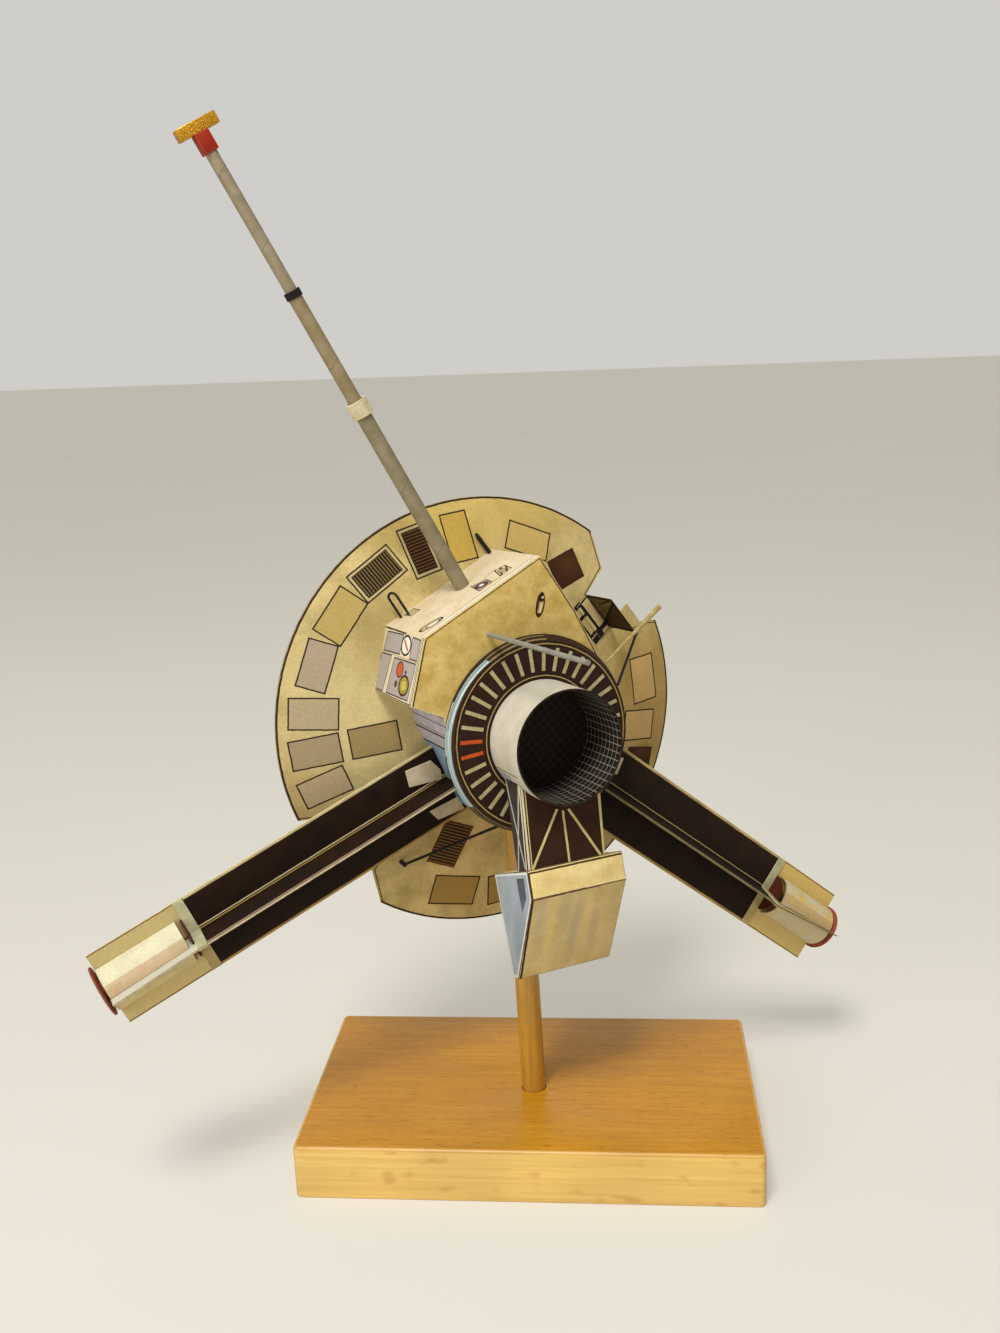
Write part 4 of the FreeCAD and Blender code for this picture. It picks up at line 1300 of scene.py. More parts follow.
@dataclass
class Bus:
    """The hexagonal box and the instrument bay."""

    rear: float = -3.5
    bus_radius: float = 30.0
    bus_turn: float = 173.0
    face_left: float = 15.1
    face_right: float = 29.0
    cheek: float = 20.7
    cheek_angle: float = 253.7
    heel: Pair = (32.0, 162.3)
    shoulder: Pair = (39.9, 67.4)
    toe: Pair = (30.9, 41.2)
    inset: float = 0.985

    def corners(self) -> dict[str, Vector]:
        """Named corners of the bay's outline on its rear face.

        Returns:
            The corners, by name.
        """
        middle = BOOM_FACE.outward() * BOOM_FACE.distance
        left = middle - BOOM_FACE.along() * self.face_left
        return {
            "left": left,
            "right": middle + BOOM_FACE.along() * self.face_right,
            "cheek": left + polar(self.cheek, self.cheek_angle),
            "heel": polar(*self.heel),
            "shoulder": polar(*self.shoulder),
            "toe": polar(*self.toe),
        }

    def rear_print(self) -> PrintedCard:
        """The bay's rear face: tan card with a brown outline and one small clip."""
        spots = self.corners()
        ring = [spots[key].to_2d() * self.inset for key in ("toe", "shoulder", "right", "left", "cheek")]
        shapes: list[Print] = border(ring[:3], 0.4, "4a3020")
        shapes += border(ring[3:], 0.45, "33221a") + border(ring[2:4], 0.3, "4a3424")
        shapes += [
            port(3.5, 39.8, 3.3, 1.25, "a88a52", INK, 0.85, 76),
            wash(3.9, 41.9, 1.2, 1.2, INK),
            stroke((3.0, 41.8), (2.2, 38.2), 0.7, INK), stroke((4.1, 40.2), (3.2, 37.4), 0.7, "d9c48c"),
            wash(4.5, 42.0, 0.4, 0.35, "d9c48c"),
        ]
        return PrintedCard("printed_card_bay_rear", "cdb16b", "b7984e", cloud=5.0, shapes=shapes)

    def boom_face_print(self) -> PrintedCard:
        """The bay's boom face: cream card with a margin, a round port and two small instruments."""
        place = face_place(polar(BOOM_FACE.distance, BOOM_FACE.angle), BOOM_FACE.along(), (0, 0, 1))
        pink, hatch = "a58c7c", "5a4236"
        shapes: list[Print] = [
            patch("e6dabc", band((-16, -6.2), (29.5, -3))),
            stroke((-16, -6.2), (29, -6.2), 0.35, "3c2a1e"), stroke((-16, -4.3), (29, -4.3), 0.3, "5f4630"),
            port(-9.4, -10.2, 3.9, 2.3, "b3a07c", INK, 0.6, 12),
            port(-9.0, -9.7, 2.3, 1.2, "e2d6b8", INK, 0.4, 12),
            framed(pink, INK, 0.35, ((9.8, -18.2), (14.3, -15.2), (13.7, -9.6), (8.8, -9.5))),
            port(11.4, -13.2, 1.9, 2.6, hatch, INK, 0.4, -12),
            wash(11.4, -13.2, 0.8, 1.1, "e8dfc8", turn=-12),
            stroke((14.7, -17.3), (19.1, -17.5), 0.3, INK), stroke((13.0, -9.8), (16.4, -8.9), 0.3, INK),
            Panel(
                fill="c9b48a", width=0.35, stripe=hatch, pitch=1.9, across=25, share=0.42,
                corners=((18.8, -17.5), (22.1, -16.3), (21.5, -9.9), (16.9, -9.4)),
            ),
            port(19.6, -13.2, 1.1, 1.8, "b69c6c", INK, 0.3, -12),
            framed("b9a77f", INK, 0.35, ((-8.6, -34), (-5.2, -34), (-5.0, -28.9), (-8.4, -28.9))),
        ]
        return PrintedCard(
            "printed_card_boom_face", "dccbaa", "d2bd94", cloud=6.0, place=place, shapes=shapes,
        )

    def instrument_print(self) -> PrintedCard:
        """The slanted instrument face: lilac panels between white margins, with four round ports."""
        spots = self.corners()
        place = face_place(spots["cheek"], spots["left"] - spots["cheek"], (0, 0, 1))
        ink = "3a281e"
        cells = (
            ((19.2, -33.4), (19.7, -19.9), (13.5, -20.3), (13.2, -34.1)),
            ((19.8, -12.2), (19.7, -5.8), (13.3, -5.9), (13.3, -11.7)),
            ((12.2, -34.9), (12.4, -26.6), (0.8, -28.6), (0.9, -36.9)),
            ((12.1, -23.9), (12.4, -6.2), (1.2, -7.3), (0.9, -25.4)),
        )
        shapes: list[Print] = [framed("aba098", ink, 0.4, cell) for cell in cells]
        shapes += [
            port(16.8, -16.3, 2.9, 3.7, "e8e0cc", ink, 0.8),
            patch("b5562a", box_at(16.8, -16.3, 0.9, 5.0, 35)),
            port(9.2, -17.6, 2.3, 2.6, "c25a2e", "4a2216", 0.5),
            port(5.0, -12.3, 2.9, 3.7, "a8983e", "4e3018", 0.9),
            port(5.0, -12.3, 1.7, 2.3, "c3b250", "7c6a30", 0.3),
            wash(4.6, -18.8, 1.1, 1.2, "6a4128"),
            wash(9.0, -12.7, 0.6, 0.8, "3e3634"),
            stroke((0, -5.1), (20.7, -5.0), 0.3, ink), stroke((0, -4.0), (20.7, -4.0), 0.45, ink),
            stroke((20.3, -36), (20.3, -18), 0.6, ink), stroke((0.3, -38), (0.3, -4), 0.35, ink),
            stroke((12.8, -36), (12.8, -5), 0.2, "8a7458"),
        ]
        return PrintedCard(
            "printed_card_instruments", "e0d3b4", "d0c09c", cloud=5.0, place=place, shapes=shapes,
        )

    def lilac_print(self) -> PrintedCard:
        """The narrow wall under the bay: lilac with a cream strip along its rear edge."""
        spots = self.corners()
        hexagon = polar(self.bus_radius, self.bus_turn)
        place = face_place(spots["heel"], hexagon - spots["heel"], (0, 0, 1))
        shapes = (
            stroke((3.0, -40), (3.0, -3), 0.3, "5f4a44"), stroke((0.2, -40), (0.2, -3), 0.5, INK),
            stroke((-1, -4.2), (7, -4.2), 0.3, "6a5038"),
        )
        return PrintedCard(
            "printed_card_lilac_wall", "b9b2b8", "aaa2a8", cloud=6.0, place=place, shapes=shapes,
        )

    def blue_print(self) -> PrintedCard:
        """The bus's left wall: a lilac strip between black lines, then pale blue."""
        start = polar(self.bus_radius, self.bus_turn)
        end = polar(self.bus_radius, self.bus_turn + 60)
        place = face_place(start, end - start, (0, 0, 1))
        shapes = (
            patch("b3acb4", band((-1, -40), (6.5, -2))),
            stroke((1.2, -40), (1.2, -3), 0.7, INK), stroke((6.5, -40), (6.5, -3), 0.7, INK),
            stroke((-1, -4.4), (32, -4.4), 0.3, "4c3c34"),
        )
        return PrintedCard(
            "printed_card_blue_wall", "8ea3b4", "7d93a6", cloud=8.0, place=place, shapes=shapes,
        )

    def build(self) -> None:
        """Dress the box and the bay."""
        wall = polar(1, self.bus_turn + 30)
        cheek = polar(1, self.cheek_angle - 90)
        face = BOOM_FACE.outward()
        side = PlainCard("plain_card_bus_walls", "bba775", "a8925f")
        dress("bus_body", [
            Coat(self.blue_print(), facing(wall.x, wall.y, 0, 0.95)),
            Coat(self.rear_print(), facing(0, 0, 1)),
            Coat(side),
        ], BROWN_EDGE, fold=0.15)
        dress("instrument_bay", [
            Coat(self.rear_print(), facing(0, 0, 1)),
            Coat(self.boom_face_print(), facing(face.x, face.y, 0, 0.95)),
            Coat(self.instrument_print(), facing(cheek.x, cheek.y, 0, 0.95)),
            Coat(self.lilac_print(), facing(-1, -0.12, 0, 0.95)),
            Coat(side),
        ], CUT_EDGE, fold=0.18)


@dataclass
class RearEnd:
    """The tapered band, the louvred plate and the open tube."""

    base_radius: float = 31.1
    face_radius: float = 29.4
    plate_radius: float = 28.7
    drop: float = 3.5
    card: float = 0.6
    tube_radius: float = 17.6
    tube_length: float = 18.4
    slats: int = 36
    slat_middle: float = 23.8
    slat_length: float = 7.2
    slat_width: float = 1.15
    slat_rise: float = 0.12
    first_slat: float = 195.5
    warm_slats: int = 2
    grid: float = 2.3
    play: float = 0.05

    def band_print(self) -> PrintedCard:
        """The band: dark brown, with a grey-blue stretch on its left that fades out over the top.

        Returns:
            The print, in millimetres round the band and along the axis.
        """
        place = face_place((0, 0, 0), (-1, 0, 0), (0, -1, 0))
        arc = math.radians(1) * self.face_radius
        start, end, olive = -58 * arc, 38 * arc, "7f7448"
        shapes = (
            framed("91a4a2", INK, 0.4, ((start, -0.3), (end, -1.2), (end, -3.7), (start, -2.3))),
            stroke((start, -0.75), (-8, -1.5), 0.3, "ccd2c4"),
            stroke((-8, -1.8), (end, -2.0), 0.25, "c3c6b8"),
            stroke((-14, -2.9), (2, -3.2), 0.3, "b7b598"), stroke((start, -1.5), (-6, -2.4), 0.2, "4c585a"),
            stroke((start - 20, -0.9), (start, -0.6), 0.6, olive),
            stroke((start - 20, -2.6), (start, -2.2), 0.35, olive),
            stroke((end, -1.4), (end + 26, -1.4), 0.5, olive),
            stroke((end, -2.7), (end + 26, -2.7), 0.35, olive),
        )
        return PrintedCard(
            "printed_card_ring", "38220f", "2c1b10", cloud=4.0, place=place, unroll=Unroll.TUBE,
            reach=self.face_radius, shapes=shapes,
        )

    def plate_print(self) -> PrintedCard:
        """The plate: dark brown with a gold ring at its rim and one round the tube."""
        rings = (
            framed("b09250", "1c120b", 0.35, band((-100, 28.15), (100, 29.0))),
            framed("a98e56", "1c120b", 0.4, band((-100, 18.4), (100, 19.15))),
        )
        return PrintedCard(
            "printed_card_louvres", "24130a", "2e1a0e", cloud=3.0, unroll=Unroll.DISC,
            reach=self.slat_middle, shapes=rings,
        )

    def grid_lines(self, ink: str, share: float, corners: tuple[Pair, ...], turn: float) -> list[Print]:
        """Two sets of thin lines that cross in a square grid.

        Args:
            ink: Their colour.
            share: How much of the pitch a line fills.
            corners: The field that they cover.
            turn: The turn of the first set in degrees.

        Returns:
            The shapes.
        """
        return [
            Panel(line=None, stripe=ink, pitch=self.grid, across=across, share=share, corners=corners)
            for across in (turn, turn + 90)
        ]

    def grid_print(self) -> PrintedCard:
        """The tube's inside: dark card with a pale square grid."""
        lines = self.grid_lines("a8a494", 0.07, band((-90, -4), (90, 19)), 0)
        return PrintedCard(
            "printed_card_tube_inside", "1a120a", "22180e", cloud=5.0, unroll=Unroll.TUBE,
            reach=self.tube_radius - self.card, shapes=lines,
        )

    def add_slats(self) -> None:
        """Set the pale slats and the two orange ones on the plate."""
        tree = fan_tree()
        cream = PlainCard("card_strip_cream", "b7ab80", "9e9268", cloud=2.0)
        orange = PlainCard("card_strip_orange", "c4551f", "a8441a", cloud=2.0)
        step = 360 / self.slats
        groups = (
            ("louvre_slats", cream, self.slats - self.warm_slats, self.first_slat),
            ("louvre_slats_orange", orange, self.warm_slats, self.first_slat - self.warm_slats * step),
        )
        for name, finish, count, first in groups:
            values = {
                "Count": count, "First Angle": math.radians(first), "Step Angle": math.radians(step),
                "Distance": self.slat_middle, "Height": self.slat_rise / 2, "Length": self.slat_length,
                "Width": self.slat_width, "Thickness": self.slat_rise, "Finish": finish.build(),
            }
            show(name, run_tree(name, tree, values), [])

    def build(self) -> None:
        """Make the band, the plate with its slats, the tube and its floor."""
        bore = self.plate_radius + self.play
        ring = [(self.base_radius, -self.drop), (self.face_radius, 0), (bore, 0), (bore, -self.drop)]
        turned("ring_band_card", ring, [
            Coat(self.plate_print(), facing(0, 0, 1)), Coat(self.band_print()),
        ], "ring_card", ["ring_band"], steps=160)
        hole = self.tube_radius + self.play
        plate = [(self.plate_radius, -self.card), (self.plate_radius, 0), (hole, 0), (hole, -self.card)]
        turned("louvre_plate_card", plate, [
            Coat(self.plate_print(), facing(0, 0, 1)), Coat(DARK_INSIDE),
        ], "louvre_card", ["louvre_plate"], steps=160)
        self.add_slats()
        inner = self.tube_radius - self.card
        tube = [
            (self.tube_radius, -self.drop), (self.tube_radius, self.tube_length),
            (inner, self.tube_length), (inner, -self.drop),
        ]
        outside = PrintedCard(
            "white_card_tube_outside", "cec6b2", "c0b7a2", cloud=9.0,
            place=face_place((0, 0, 0), (-1, 0, 0), (0, -1, 0)), unroll=Unroll.TUBE, reach=self.tube_radius,
            shapes=(
                stroke((7.0, -1.4), (7.6, 14.5), 0.35, "3a2c20"),
                framed("9fa5a0", "5a5448", 0.25, ((8.2, 0.2), (8.8, 8.0), (12.2, 6.5), (12.0, 0.2))),
            ),
        )
        rim = PlainCard("card_edge_blackened", "1c1510", "33261a", cloud=3.0)
        turned("open_tube_card", tube, [
            Coat(rim, flat_on(0, 0, 1)),
            Coat(self.grid_print(), lambda centre, normal: normal.dot(Vector((centre.x, centre.y, 0))) < 0),
            Coat(outside),
        ], "white_card", ["open_tube"], steps=128)
        edge = inner - self.play
        floor = [
            (0, -self.drop), (edge, -self.drop), (edge, -self.drop + self.card), (0, -self.drop + self.card),
        ]
        # The floor's grid lines are dim brown, far darker than the walls' pale grid: painted shade at the
        # bottom of the tube.
        cells = self.grid_lines("3e3424", 0.09, band((-18, -18), (18, 18)), 35)
        disc = PrintedCard("printed_card_tube_floor", "1a120a", "20160d", cloud=5.0, shapes=cells)
        turned("tube_floor_card", floor, [Coat(disc)], "dark_grid_card", ["tube_floor"], steps=96)


@dataclass
class HoodAndTruss:
    """The folded truss card under the tube and the hood box that hangs from it."""

    side: float = -14.5
    sheet: float = -14.4
    brow: float = -45.0

    def truss_front(self) -> PrintedCard:
        """The truss's front: dark mottled card with a fan of cream struts."""
        strut = "c9b67c"
        shapes = (
            stroke((-2.8, -19.6), (-12.6, -36.6), 0.8, strut),
            stroke((-0.9, -20.4), (0.0, -37.4), 0.7, strut),
            stroke((1.0, -20.2), (11.6, -37.8), 0.8, strut), stroke((11.6, -12.0), (12.0, -38), 0.9, strut),
            stroke((-13.9, -8.0), (-13.5, -38), 0.7, "d8ceb0"),
            stroke((-12.9, -8.0), (-12.6, -38), 0.35, strut),
        )
        return PrintedCard("printed_card_truss_front", "381d09", "291405", cloud=5.0, shapes=shapes)

    def truss_side(self) -> PrintedCard:
        """The truss's side sheets: dark grey card with pale crossed struts."""
        place = face_place((self.sheet, 0, 0), (0, 0, 1), (0, 1, 0))
        pale = "b5b4ac"
        shapes = (
            stroke((1.8, -9.5), (12.6, -36.0), 0.8, pale), stroke((11.4, -9.0), (7.6, -38.5), 0.8, pale),
            stroke((0.9, -8.0), (6.8, -39.5), 0.7, pale), stroke((11.5, -8.0), (13.6, -38), 0.7, "d8ceb0"),
        )
        return PrintedCard(
            "printed_card_truss_side", "453a32", "352b24", cloud=6.0, place=place, shapes=shapes,
        )

    def hood_side(self) -> PrintedCard:
        """The hood's side: blue-grey card with white margins and a slate slot."""
        place = face_place((self.side, 0, 0), (0, 0, 1), (0, 1, 0))
        edge = ((-10.5, -44.4), (13.8, -36.4), (15.8, -45.0), (2.6, -75.0), (-0.8, -75.0), (-10.5, -44.4))
        shapes: list[Print] = [
            framed("50565c", "3c4044", 0.3, ((6.2, -41.2), (11.2, -39.6), (12.0, -45.4), (8.8, -50.8))),
            wash(6, -60, 4, 10, "7f8b94", 4.0, 0.6, -20),
        ]
        shapes += border(edge, 1.9, "d6d6cc") + border(edge, 0.5, "4a3a2c")
        return PrintedCard(
            "printed_card_hood_side", "a5acb0", "9099a0", cloud=12.0, place=place, shapes=shapes,
        )

    def hood_front(self) -> PrintedCard:
        """The hood's front below the fold: tan card with soft upright streaks and an inked border.

        Returns:
            The print.
        """
        # Of each streak: its middle, half sizes and fill.
        streaks = (
            (-10.5, -52, 1.6, 9.0, "a89a86"), (-6.0, -58, 1.2, 12.0, "e2c675"),
            (-2.0, -50, 1.8, 7.0, "b09a78"),
            (2.6, -60, 1.5, 11.0, "a39684"), (6.2, -54, 1.3, 9.0, "e6cc7c"), (9.4, -62, 1.5, 8.0, "ae9c7c"),
            (11.8, -50, 1.2, 6.0, "d8bc70"),
        )
        shapes: list[Print] = [wash(*streak, 3.0, 0.42) for streak in streaks]
        ink = "5a4028"
        shapes += [
            stroke((-15, self.brow - 0.2), (-3, self.brow - 0.2), 0.35, ink),
            stroke((-1.5, self.brow - 0.2), (9, self.brow - 0.2), 0.3, ink),
            stroke((-14.0, self.brow), (-13.6, -76), 0.8, "3c2818"),
        ]
        return PrintedCard("printed_card_hood_front", "d4be88", "c4ac72", cloud=8.0, shapes=shapes)

    def hood_brow(self) -> PrintedCard:
        """The strip above the fold: cream card with warm blotches and inked borders."""
        # Of each blotch: its middle, size and fill.
        blotches = (
            (-8, -40.5, 3.0, "c9a066"), (0.5, -42.5, 2.4, "cfa768"), (7.0, -39.5, 2.6, "efdca0"),
            (12, -42, 2.2, "c79c60"),
        )
        shapes: list[Print] = [wash(x, y, size, size * 0.6, fill, 2.0, 0.5) for x, y, size, fill in blotches]
        shapes += [
            stroke((-15, -37.2), (19, -37.2), 0.6, "4a3018"), stroke((-15, -44.8), (4, -44.8), 0.3, "6b5334"),
            stroke((-14.1, -37), (-14.1, -45.5), 0.7, "3c2818"),
        ]
        return PrintedCard("printed_card_hood_brow", "e3cd8d", "d7be7a", cloud=4.0, shapes=shapes)

    def build(self) -> None:
        """Dress the truss and the hood."""
        dress("truss", [
            Coat(self.truss_front(), facing(0, 0, 1)), Coat(self.truss_side(), flat_on(1, 0, 0)),
            Coat(DARK_INSIDE),
        ], CREAM, fold=0.08)
        dress("hood_box", [
            Coat(self.hood_side(), flat_on(1, 0, 0)),
            Coat(self.hood_brow(), lambda centre, normal: normal.z > 0.5 and centre.y > self.brow),
            Coat(self.hood_front(), facing(0, 0, 1, 0.5)),
            Coat(CREAM),
        ], BROWN_EDGE, fold=0.2)


@dataclass
class PowerArm:
    """One power arm: a flat sheet of two plates, a front plate, a band, a can and its discs."""

    name: str
    degrees: float
    tilt: float
    drop: float
    roll: float
    aside: float
    lean: float
    top_turn: float
    # The can's colours: its upper quarter, the part of that quarter past its fold, which is the upper card
    # with painted shade, and the rest of the can.
    can: tuple[str, str, str]
    fins: tuple[str, str, str]
    # The width and fill of each plate's pale strip, and the two sides and the ink of each line on plate 2.
    strips: tuple[tuple[float, str], ...]
    lines: tuple[tuple[float, float, str], ...]
    blotch: str
    edge: Colours
    band_start: float = 114.6
    band_end: float = 117.8
    arm_end: float = 145.9
    widths: tuple[float, float, float] = (11.6, 12.8, 13.8)
    blotches: int = 7
    fold_share: float = 1.6

    def directions(self) -> tuple[Vector, Vector, Vector]:
        """The arm's own directions in the probe's frame.

        Returns:
            Outwards along the arm, its rear normal, and across it.
        """
        level = polar(1, self.degrees)
        rise = math.radians(self.tilt)
        outward = level * math.cos(rise) + Vector((0, 0, math.sin(rise)))
        rear = Vector((0, 0, math.cos(rise))) - level * math.sin(rise)
        return outward, rear, rear.cross(outward)

    def side(self, turn: float) -> Vector:
        """Direction square to the arm, a turn away from its front plate."""
        outward, rear, across = self.directions()
        angle = math.radians(self.roll + turn)
        return rear * math.cos(angle) + across * math.sin(angle)

    def line(self) -> Vector:
        """A point of the arm's middle line."""
        return Vector((0, 0, -self.drop)) + self.directions()[2] * self.aside

    def plate_place(self, turn: float) -> Matrix:
        """The frame of a plate: along the arm, then out from its middle line."""
        return face_place(self.line(), self.directions()[0], self.side(turn))

    def plate_print(self, number: int, turn: float) -> PrintedCard:
        """The print of one plate: dark, a pale strip at its free edge and a plain fin beyond the band.

        Args:
            number: The plate's number, from 0 for the front plate.
            turn: The plate's turn about the middle line, in degrees.

        Returns:
            The print, in millimetres along the arm and out from its middle line.
        """
        width = self.widths[number]
        strip, pale = self.strips[number]
        start, end = -1, self.band_start

        def long_band(low: float, high: float) -> tuple[Pair, ...]:
            """A strip along the dark part of the plate."""
            return band((start, low), (end, high))

        shapes: list[Print] = [framed(pale, "3c2a1a", 0.3, long_band(width - strip, width + 1))]
        shapes += [
            wash(
                end * (spot + 0.4) / self.blotches, width - strip * 0.6, 3.5, strip * 0.35,
                self.blotch, soft=1.6, cover=0.45,
            )
            for spot in range(self.blotches)
        ]
        if number == 0:
            shapes += [
                patch(self.edge[0], long_band(width - 0.45, width + 1)),
                patch(self.edge[1], long_band(width - strip, width - strip + 0.35)),
            ]
        shapes += [
            patch(self.fins[number], band((end + 0.4, -1), (self.arm_end + 1, width + 1))),
            stroke((self.band_end + 0.3, 0.3), (self.arm_end, 0.3), 0.6, "5a4028"),
            stroke((self.band_end, width - 0.35), (self.arm_end, width - 0.35), 0.35, "6e5232"),
        ]
        if number == 1:
            shapes += [patch(ink, long_band(low, high)) for low, high, ink in self.lines]
        return PrintedCard(
            "printed_card_%s_arm_%d" % (self.name, number + 1), "271405", "1a0d04", cloud=6.0,
            place=self.plate_place(turn), shapes=shapes,
        )

    def build(self) -> None:
        """Dress the arm's pieces."""
        arm = self.name + "_arm_"
        turns = (self.lean, self.top_turn, -self.top_turn)
        normals = [self.side(turn + 90) for turn in turns]
        front_edge = PlainCard("card_edge_front_" + self.name, *self.edge, cloud=3.0)
        for number, (turn, normal) in enumerate(zip(turns, normals)):
            edge = CUT_EDGE if number else front_edge
            dress(arm + "plate_%d" % (number + 1), [
                Coat(self.plate_print(number, turn), flat_on(*normal, 0.7)), Coat(edge),
            ], edge, fold=0.05, steps=1)
        top = self.side(self.top_turn)
        line = self.line()

        def above(centre: Vector, normal: Vector) -> bool:
            """Faces on the top plate's side of the front plate."""
            return (centre - line).dot(top) > 0

        def behind(centre: Vector, normal: Vector) -> bool:
            """Faces behind the sheet of the two plates."""
            return (centre - line).dot(self.side(0)) < 0

        def folded(centre: Vector, normal: Vector) -> bool:
            """Faces of the upper quarter on the front plate's side of its fold."""
            out = centre - line
            return above(centre, normal) and out.dot(self.side(self.lean)) > self.fold_share * out.dot(top)

        # The middle colour is painted shade: the upper card, made darker on the part past the fold.
        upper, front, lower = (
            PlainCard("card_can_%s_%s" % (spot, self.name), colour, shade, cloud=5.0)
            for spot, colour,
            shade in zip(("upper", "front", "lower"), self.can, ("cfc8a6", "c2a984", "c6b583"))
        )
        dress(arm + "can", [Coat(lower, behind), Coat(front, folded), Coat(upper, above), Coat(lower)],
              BROWN_EDGE, fold=0.1, steps=1)
        band_upper = PlainCard("card_band_upper_" + self.name, "b4b08c", "a29c74", cloud=4.0)
        band_lower = PlainCard("card_band_lower_" + self.name, "b8a670", "a5905c", cloud=4.0)
        dress(arm + "bands", [Coat(band_upper, above), Coat(band_lower)],
              CUT_EDGE, fold=0.06, steps=1)
        dress(arm + "inner_disc", [Coat(PlainCard("card_disc_red_brown", "52200f", "42180b", cloud=3.0))],
              BROWN_EDGE, fold=0.08, steps=1)
        dress(arm + "end_disc", [Coat(PlainCard("card_disc_salmon", "a8543a", "93452e", cloud=4.0))],
              BROWN_EDGE, fold=0.15, steps=1)
        tabs = PlainCard("card_root_tabs", "d8c6a8", "c8b48e", cloud=4.0)
        dress(arm + "root_tabs", [Coat(tabs)], WHITE_EDGE, fold=0.06, steps=1)


@dataclass
class Boom:
    """The magnetometer boom: three rolled paper tubes, a collar, a ring and the sensor at its tip."""

    aside: float = 9.0
    drop: float = 23.0
    diameters: tuple[float, float, float] = (4.8, 4.2, 3.6)
    joints: tuple[float, float, float, float] = (0.05, 63.0, 99.9, 142.5)
    wall: float = 0.7
    collar: tuple[float, float, float, float] = (60.5, 65.5, 6.6, 4.9)
    ring: tuple[float, float, float, float] = (98.8, 101.0, 5.0, 4.3)

    def place(self) -> Matrix:
        """The boom's frame: its Z runs outwards along it."""
        along = BOOM_FACE.along()
        foot = BOOM_FACE.outward() * BOOM_FACE.distance + along * self.aside + Vector((0, 0, -self.drop))
        return face_place(foot, along, (0, 0, -1))

    def sleeve(self, name: str, start: float, end: float, outer: float, inner: float, finish: Finish,
               slot: str) -> None:
        """One tube or sleeve along the boom.

        Args:
            name: The CAD node that it stands for.
            start: Where it starts along the boom, in millimetres.
            end: Where it ends.
            outer: Its outer diameter.
            inner: Its bore.
            finish: Its finish.
            slot: A material slot name, passed on to turned, which does not use it.
        """
        section = [(outer / 2, start), (outer / 2, end), (inner / 2, end), (inner / 2, start)]
        turned(name + "_paper", section, [Coat(finish)], slot, [name], place=self.place(), steps=48, edge=0.1)

    def build(self) -> None:
        """Make the tubes, the collar, the ring, the red block and the gold bar."""
        names = ("boom_root_tube", "boom_mid_tube", "boom_tip_tube")
        greys = (("908468", "7f7356"), ("988868", "867656"), ("988b72", "85785e"))
        for number, name in enumerate(names):
            outer = self.diameters[number]
            start, end = self.joints[number:number + 2]
            # Two seams of the rolled paper, which wind slowly round the tube.
            seam = [stroke((-30, start + low), (30, start + low + 34), 0.22, "6e675a") for low in (0, 22)]
            paper = PrintedCard(
                "rolled_grey_paper_%d" % (number + 1), *greys[number], cloud=6.0, speck=0.04,
                place=self.place(), unroll=Unroll.TUBE, reach=outer / 2, shapes=seam,
            )
            self.sleeve(name, start, end, outer, outer - 2 * self.wall, paper, "grey_paper_tube")
        white = PlainCard("rolled_pale_paper_collar", "d2c6a2", "bfb087", cloud=3.0)
        black = PlainCard("black_paper_ring", "17130f", "241d17", cloud=3.0)
        self.sleeve("boom_collar", *self.collar, white, "white_card")
        self.sleeve("boom_ring", *self.ring, black, "black_paper")
        red = PlainCard("card_block_red", "9a2a12", "82220e", roughness=0.5, cloud=3.0)
        dress(
            "sensor_block", [Coat(red)], PlainCard("card_edge_red", "b84a30", "a8321a"), fold=0.2,
        )
        gold = GlitterCard("gold_glitter_card", "d69c22", "a37212", flake=0.3)
        dress("sensor_bar", [Coat(gold)], gold, fold=0.2)


@dataclass
class Feed:
    """The feed on the dish's hidden side: three sticks and a small rolled drum."""

    def build(self) -> None:
        """Dress the struts and the drum."""
        stick = PlainCard("grey_painted_feed_stick", "a39c8c", "8f8878", cloud=5.0)
        dress("feed_struts", [Coat(stick)], stick, fold=0.05, steps=1)
        drum = PlainCard("plain_card_feed", "cdbf96", "b8a87c", cloud=6.0)
        dress("feed_head", [Coat(drum)], WHITE_EDGE, fold=0.12)


